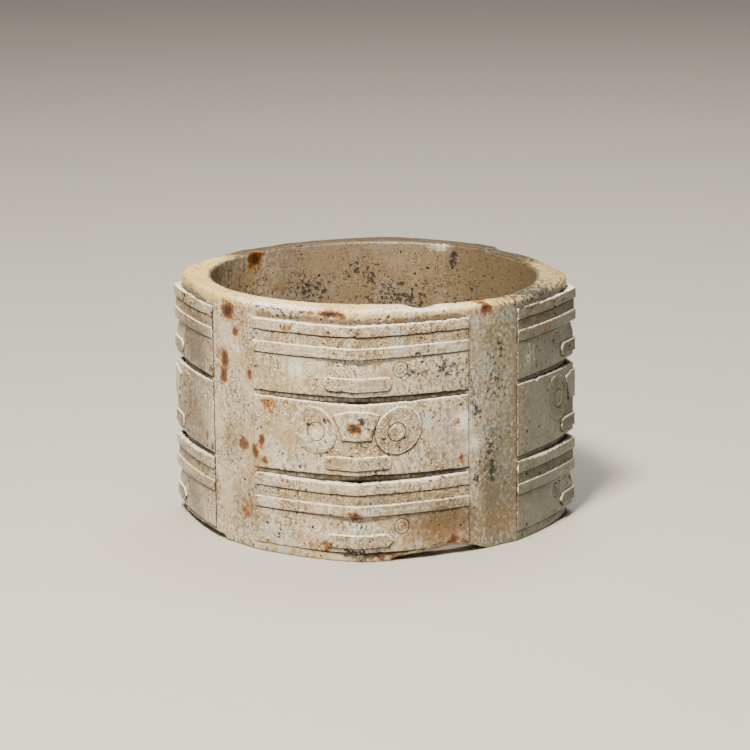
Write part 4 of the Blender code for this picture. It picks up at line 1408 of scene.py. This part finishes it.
def speck_mask(tree, read):
    """1 on black specks and soot blooms, 0 elsewhere."""
    math_node, vector_node = "ShaderNodeMath", "ShaderNodeVectorMath"
    dark = read["soot"]
    for name, share in SOOT_RAGGED:
        about_zero = add(tree, math_node, {0: read[name], 1: -0.5}, operation='ADD').outputs[0]
        dark = add(tree, math_node, {0: about_zero, 1: share, 2: dark},
                   operation='MULTIPLY_ADD').outputs[0]
    dark = add(tree, "ShaderNodeMapRange", {"Value": dark, "From Min": 0.56, "From Max": 0.80},
               interpolation_type='SMOOTHSTEP').outputs[0]
    crowd = add(tree, "ShaderNodeMapRange", {"Value": read["region"], "From Min": 0.40,
                                             "From Max": 0.68, "To Min": 0.02, "To Max": 0.36},
                interpolation_type='SMOOTHSTEP').outputs[0]
    for name, extra in CROWDED:
        crowd = add(tree, math_node, {0: read[name], 1: extra, 2: crowd},
                    operation='MULTIPLY_ADD').outputs[0]
    shake = add(tree, "ShaderNodeTexNoise", {"Vector": read["place"], "Scale": 1 / (SHAKE_SIZE * MM)})
    shake = add(tree, vector_node, {0: shake.outputs["Color"], 1: (0.5, 0.5, 0.5)},
                operation='SUBTRACT').outputs[0]
    shaken = add(tree, vector_node, {0: shake, 1: (SPECK_SHAKE * MM,) * 3, 2: read["place"]},
                 operation='MULTIPLY_ADD').outputs[0]
    for size, reach in SPECKS:
        cell = add(tree, "ShaderNodeTexVoronoi", {"Vector": shaken, "Scale": 1 / (size * MM)})
        lots = add(tree, "ShaderNodeSeparateXYZ", {0: cell.outputs["Color"]}).outputs
        chosen = add(tree, math_node, {0: lots[0], 1: crowd}, operation='LESS_THAN').outputs[0]
        shrink = add(tree, "ShaderNodeMapRange", {"Value": lots[1], "To Min": SPECK_SHRINK[0],
                                                  "To Max": SPECK_SHRINK[1]},
                     interpolation_type='SMOOTHSTEP').outputs[0]
        far = add(tree, math_node, {0: cell.outputs["Distance"], 1: shrink},
                  operation='MULTIPLY').outputs[0]
        speck = add(tree, "ShaderNodeMapRange", {"Value": far, "From Min": 0.4 * reach,
                                                 "From Max": reach, "To Min": 1.0, "To Max": 0.0},
                    interpolation_type='SMOOTHSTEP').outputs[0]
        speck = add(tree, math_node, {0: speck, 1: chosen}, operation='MULTIPLY').outputs[0]
        dark = add(tree, math_node, {0: dark, 1: speck}, operation='MAXIMUM').outputs[0]
    return dark


print("specks come in cells of", [size for size, reach in SPECKS], "mm")

# %% [markdown]
# ## Sheen and fine relief
# Nephrite takes a soft, waxy polish. It is left on the high places, with a roughness near 0.4,
# and sand, specks and earth are duller. The bump is for what is finer than the mesh: grain,
# dust in the sandy places, pits at the specks, the battered rim, and the level lines that were
# ground into the bands. Its height is in millimetres.

# %% Roughness and bump
POLISH = (0.32, 0.46)
DULLER = [("sand", 0.25), ("dark", 0.3), ("shelter", 0.4)]
RULED_LINES = 0.38
RELIEF = [("fine", 0.13), ("dusty", 0.09), ("ruled", 0.06), ("dark", -0.22),
          ("battered rim", 0.22), ("grit", 0.22)]


def sheen(tree, read):
    """The roughness: polished in patches, duller where there is sand, soot or earth."""
    low, high = POLISH
    roughness = add(tree, "ShaderNodeMapRange", {"Value": read["patchy"], "From Min": 0.3,
                                                 "From Max": 0.7, "To Min": low, "To Max": high},
                    interpolation_type='SMOOTHSTEP').outputs[0]
    for name, share in DULLER:
        roughness = add(tree, "ShaderNodeMath", {0: read[name], 1: share, 2: roughness},
                        operation='MULTIPLY_ADD').outputs[0]
    return roughness


def fine_relief(tree, read):
    """The bumped normal."""
    math_node = "ShaderNodeMath"
    lines = add(tree, "ShaderNodeTexWave", {"Vector": read["place"], "Scale": RULED_LINES / MM,
                                            "Distortion": 0.6, "Detail": 1.0},
                bands_direction='Z').outputs["Fac"]
    kept = add(tree, "ShaderNodeMapRange", {"Value": read["patchy"], "From Min": 0.42,
                                            "From Max": 0.6}, interpolation_type='SMOOTHSTEP').outputs[0]
    ruled = add(tree, math_node, {0: lines, 1: read["band"]}, operation='MULTIPLY').outputs[0]
    parts = dict(read)
    for name, first, second in (("ruled", ruled, kept), ("battered rim", read["fine"], read["rim"]),
                                ("grit", read["dusty"], read["sand"])):
        parts[name] = add(tree, math_node, {0: first, 1: second}, operation='MULTIPLY').outputs[0]
    height = 0.0
    for name, share in RELIEF:
        height = add(tree, math_node, {0: parts[name], 1: share, 2: height},
                     operation='MULTIPLY_ADD').outputs[0]
    return add(tree, "ShaderNodeBump", {"Height": height, "Strength": 1.0, "Distance": MM}).outputs[0]


print("the polish has a roughness from", POLISH[0], "to", POLISH[1])

# %% [markdown]
# ## Putting the material together
# The steps share what they read: the place, the finish values from the points, and four clouds
# that must be the same ones everywhere, each with its size in millimetres and its detail.
# Nephrite's IOR is about 1.61, and it is no metal.

# %% The stone's material
NEPHRITE_IOR = 1.61
SPECK_STRENGTH = 0.94
SHARED_CLOUDS = [("fine", 0.9, 5), ("dusty", 0.35, 3), ("patchy", 4.2, 4), ("region", 9.0, 3)]


def paint_stone(material):
    """Altered nephrite: mottled cream stone, earth in the grooves, rust, specks and worn edges."""
    material.use_nodes = True
    tree = material.node_tree
    tree.nodes.clear()
    place = add(tree, "ShaderNodeTexCoord").outputs["Object"]
    read = {name: add(tree, "ShaderNodeAttribute", attribute_name=name).outputs["Fac"]
            for name in finish}
    read["place"] = place
    for name, size, detail in SHARED_CLOUDS:
        read[name] = cloud(tree, place, size, detail)
    read["dark"] = speck_mask(tree, read)
    share = add(tree, "ShaderNodeMath", {0: read["dark"], 1: SPECK_STRENGTH},
                operation='MULTIPLY').outputs[0]
    colour = add(tree, "ShaderNodeMix", {"Factor": share, 6: lay_coats(tree, read),
                                         7: linear(SPECK_BLACK)}, data_type='RGBA').outputs[2]
    shader = add(tree, "ShaderNodeBsdfPrincipled", {"Base Color": colour, "IOR": NEPHRITE_IOR,
                                                    "Roughness": sheen(tree, read), "Metallic": 0.0,
                                                    "Normal": fine_relief(tree, read)})
    add(tree, "ShaderNodeOutputMaterial", {"Surface": shader.outputs[0]})


paint_stone(STONE)
print("the stone's material has", len(STONE.node_tree.nodes), "nodes")

# %% [markdown]
# ## The stage
# A plain pale floor of matt paper, so large that its edge lies far behind the cong, and a dim,
# even room around it.

# %% Floor and room
FLOOR_SIZE = 6.0


def make_floor():
    """A wide pale floor whose top is at the cong's foot."""
    mesh = bpy.data.meshes.new("studio_floor")
    half = FLOOR_SIZE / 2
    corners = [(-half, -half, 0), (half, -half, 0), (half, half, 0), (-half, half, 0)]
    mesh.from_pydata(corners, [], [(0, 1, 2, 3)])
    item = bpy.data.objects.new("studio_floor", mesh)
    bpy.context.scene.collection.objects.link(item)
    material = bpy.data.materials.new("matt_studio_paper")
    material.use_nodes = True
    shader = material.node_tree.nodes["Principled BSDF"]
    shader.inputs["Base Color"].default_value = linear("B6B4AE")
    shader.inputs["Roughness"].default_value = 0.9
    mesh.materials.append(material)


def make_world():
    """An even, dim room that keeps the deepest shadows open."""
    world = bpy.data.worlds.new("soft room")
    world.use_nodes = True
    backdrop = world.node_tree.nodes["Background"]
    backdrop.inputs["Color"].default_value = linear("DDE0E4")
    backdrop.inputs["Strength"].default_value = 0.06
    bpy.context.scene.world = world


make_floor()
make_world()
print("the floor is", FLOOR_SIZE, "m wide")

# %% [markdown]
# ## Soft light
# Three soft lights look at the cong. The key is small and near and stands high, a little left
# of the front ridge, so that the bands throw thin shadows. A weak one from behind draws the rim
# and reaches into the bore. A wide one overhead fills in. Each is named by its turn from the
# front ridge and its rise in degrees, its distance and width in metres, its power in watts and
# its tint.

# %% Lights
SOFT_LIGHTS = [("key", -14, 56, 0.65, 0.12, 11.6, "FFF3E0"),
               ("over the rim", 172, 62, 0.7, 0.3, 2.8, "FFF8EE"),
               ("ceiling", 0, 89, 1.7, 1.6, 14.0, "F6F4F0")]


def view_direction(turn, rise):
    """A direction from the cong: a turn from the front ridge to the right, and a rise."""
    angle = FRONT_RIDGE + math.radians(turn)
    tilt = math.radians(rise)
    return Vector((math.cos(angle) * math.cos(tilt), math.sin(angle) * math.cos(tilt),
                   math.sin(tilt)))


def soft_light(name, turn, rise, far, size, power, tint):
    """A square area light that looks at the cong."""
    light = bpy.data.lights.new(name, 'AREA')
    light.size = size
    light.energy = power
    light.color = linear(tint)[:3]
    item = bpy.data.objects.new(name, light)
    bpy.context.scene.collection.objects.link(item)
    direction = view_direction(turn, rise)
    item.location = direction * far + Vector((0, 0, HEIGHT * MM / 2))
    item.rotation_euler = direction.to_track_quat('Z', 'Y').to_euler()


for light in SOFT_LIGHTS:
    soft_light(*light)
print("soft lights:", [light[0] for light in SOFT_LIGHTS])

# %% [markdown]
# ## The camera
# The camera stands 652 mm from the cong, a few degrees to the right of the front ridge and a
# little above it, with a long lens. Its place was solved from the edges of the tiers, and it
# leans by half a degree.

# %% Camera
CAMERA_TURN = 4.92
CAMERA_RISE = 13.16
CAMERA_FAR = 0.6524
CAMERA_AIM = (0.00012, 0.00329)
CAMERA_ROLL = math.radians(-0.472)
SENSOR = 36.0
FOCAL_PIXELS = 3185.8
IMAGE_WIDTH = 750


def make_camera():
    """The photograph's view, built from its directions right, up and back."""
    camera = bpy.data.cameras.new("photo view")
    camera.sensor_width = SENSOR
    camera.lens = SENSOR * FOCAL_PIXELS / IMAGE_WIDTH
    item = bpy.data.objects.new("photo view", camera)
    bpy.context.scene.collection.objects.link(item)
    middle = Vector((0, 0, HEIGHT * MM / 2))
    back = view_direction(CAMERA_TURN, CAMERA_RISE)
    place = middle + back * CAMERA_FAR
    right = Vector((0, 0, 1)).cross(back).normalized()
    aim = middle + right * CAMERA_AIM[0] + back.cross(right) * CAMERA_AIM[1]
    forward = (aim - place).normalized()
    right = forward.cross(Vector((0, 0, 1))).normalized()
    up = right.cross(forward)
    leaning_right = right * math.cos(CAMERA_ROLL) + up * math.sin(CAMERA_ROLL)
    leaning_up = up * math.cos(CAMERA_ROLL) - right * math.sin(CAMERA_ROLL)
    item.matrix_world = Matrix((leaning_right, leaning_up, -forward)).transposed().to_4x4()
    item.location = place
    bpy.context.scene.camera = item
    return camera


print("the lens is", round(make_camera().lens, 1), "mm")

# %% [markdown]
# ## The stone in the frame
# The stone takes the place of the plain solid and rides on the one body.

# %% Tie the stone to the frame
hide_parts("jade_cong")
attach(stone, "root")
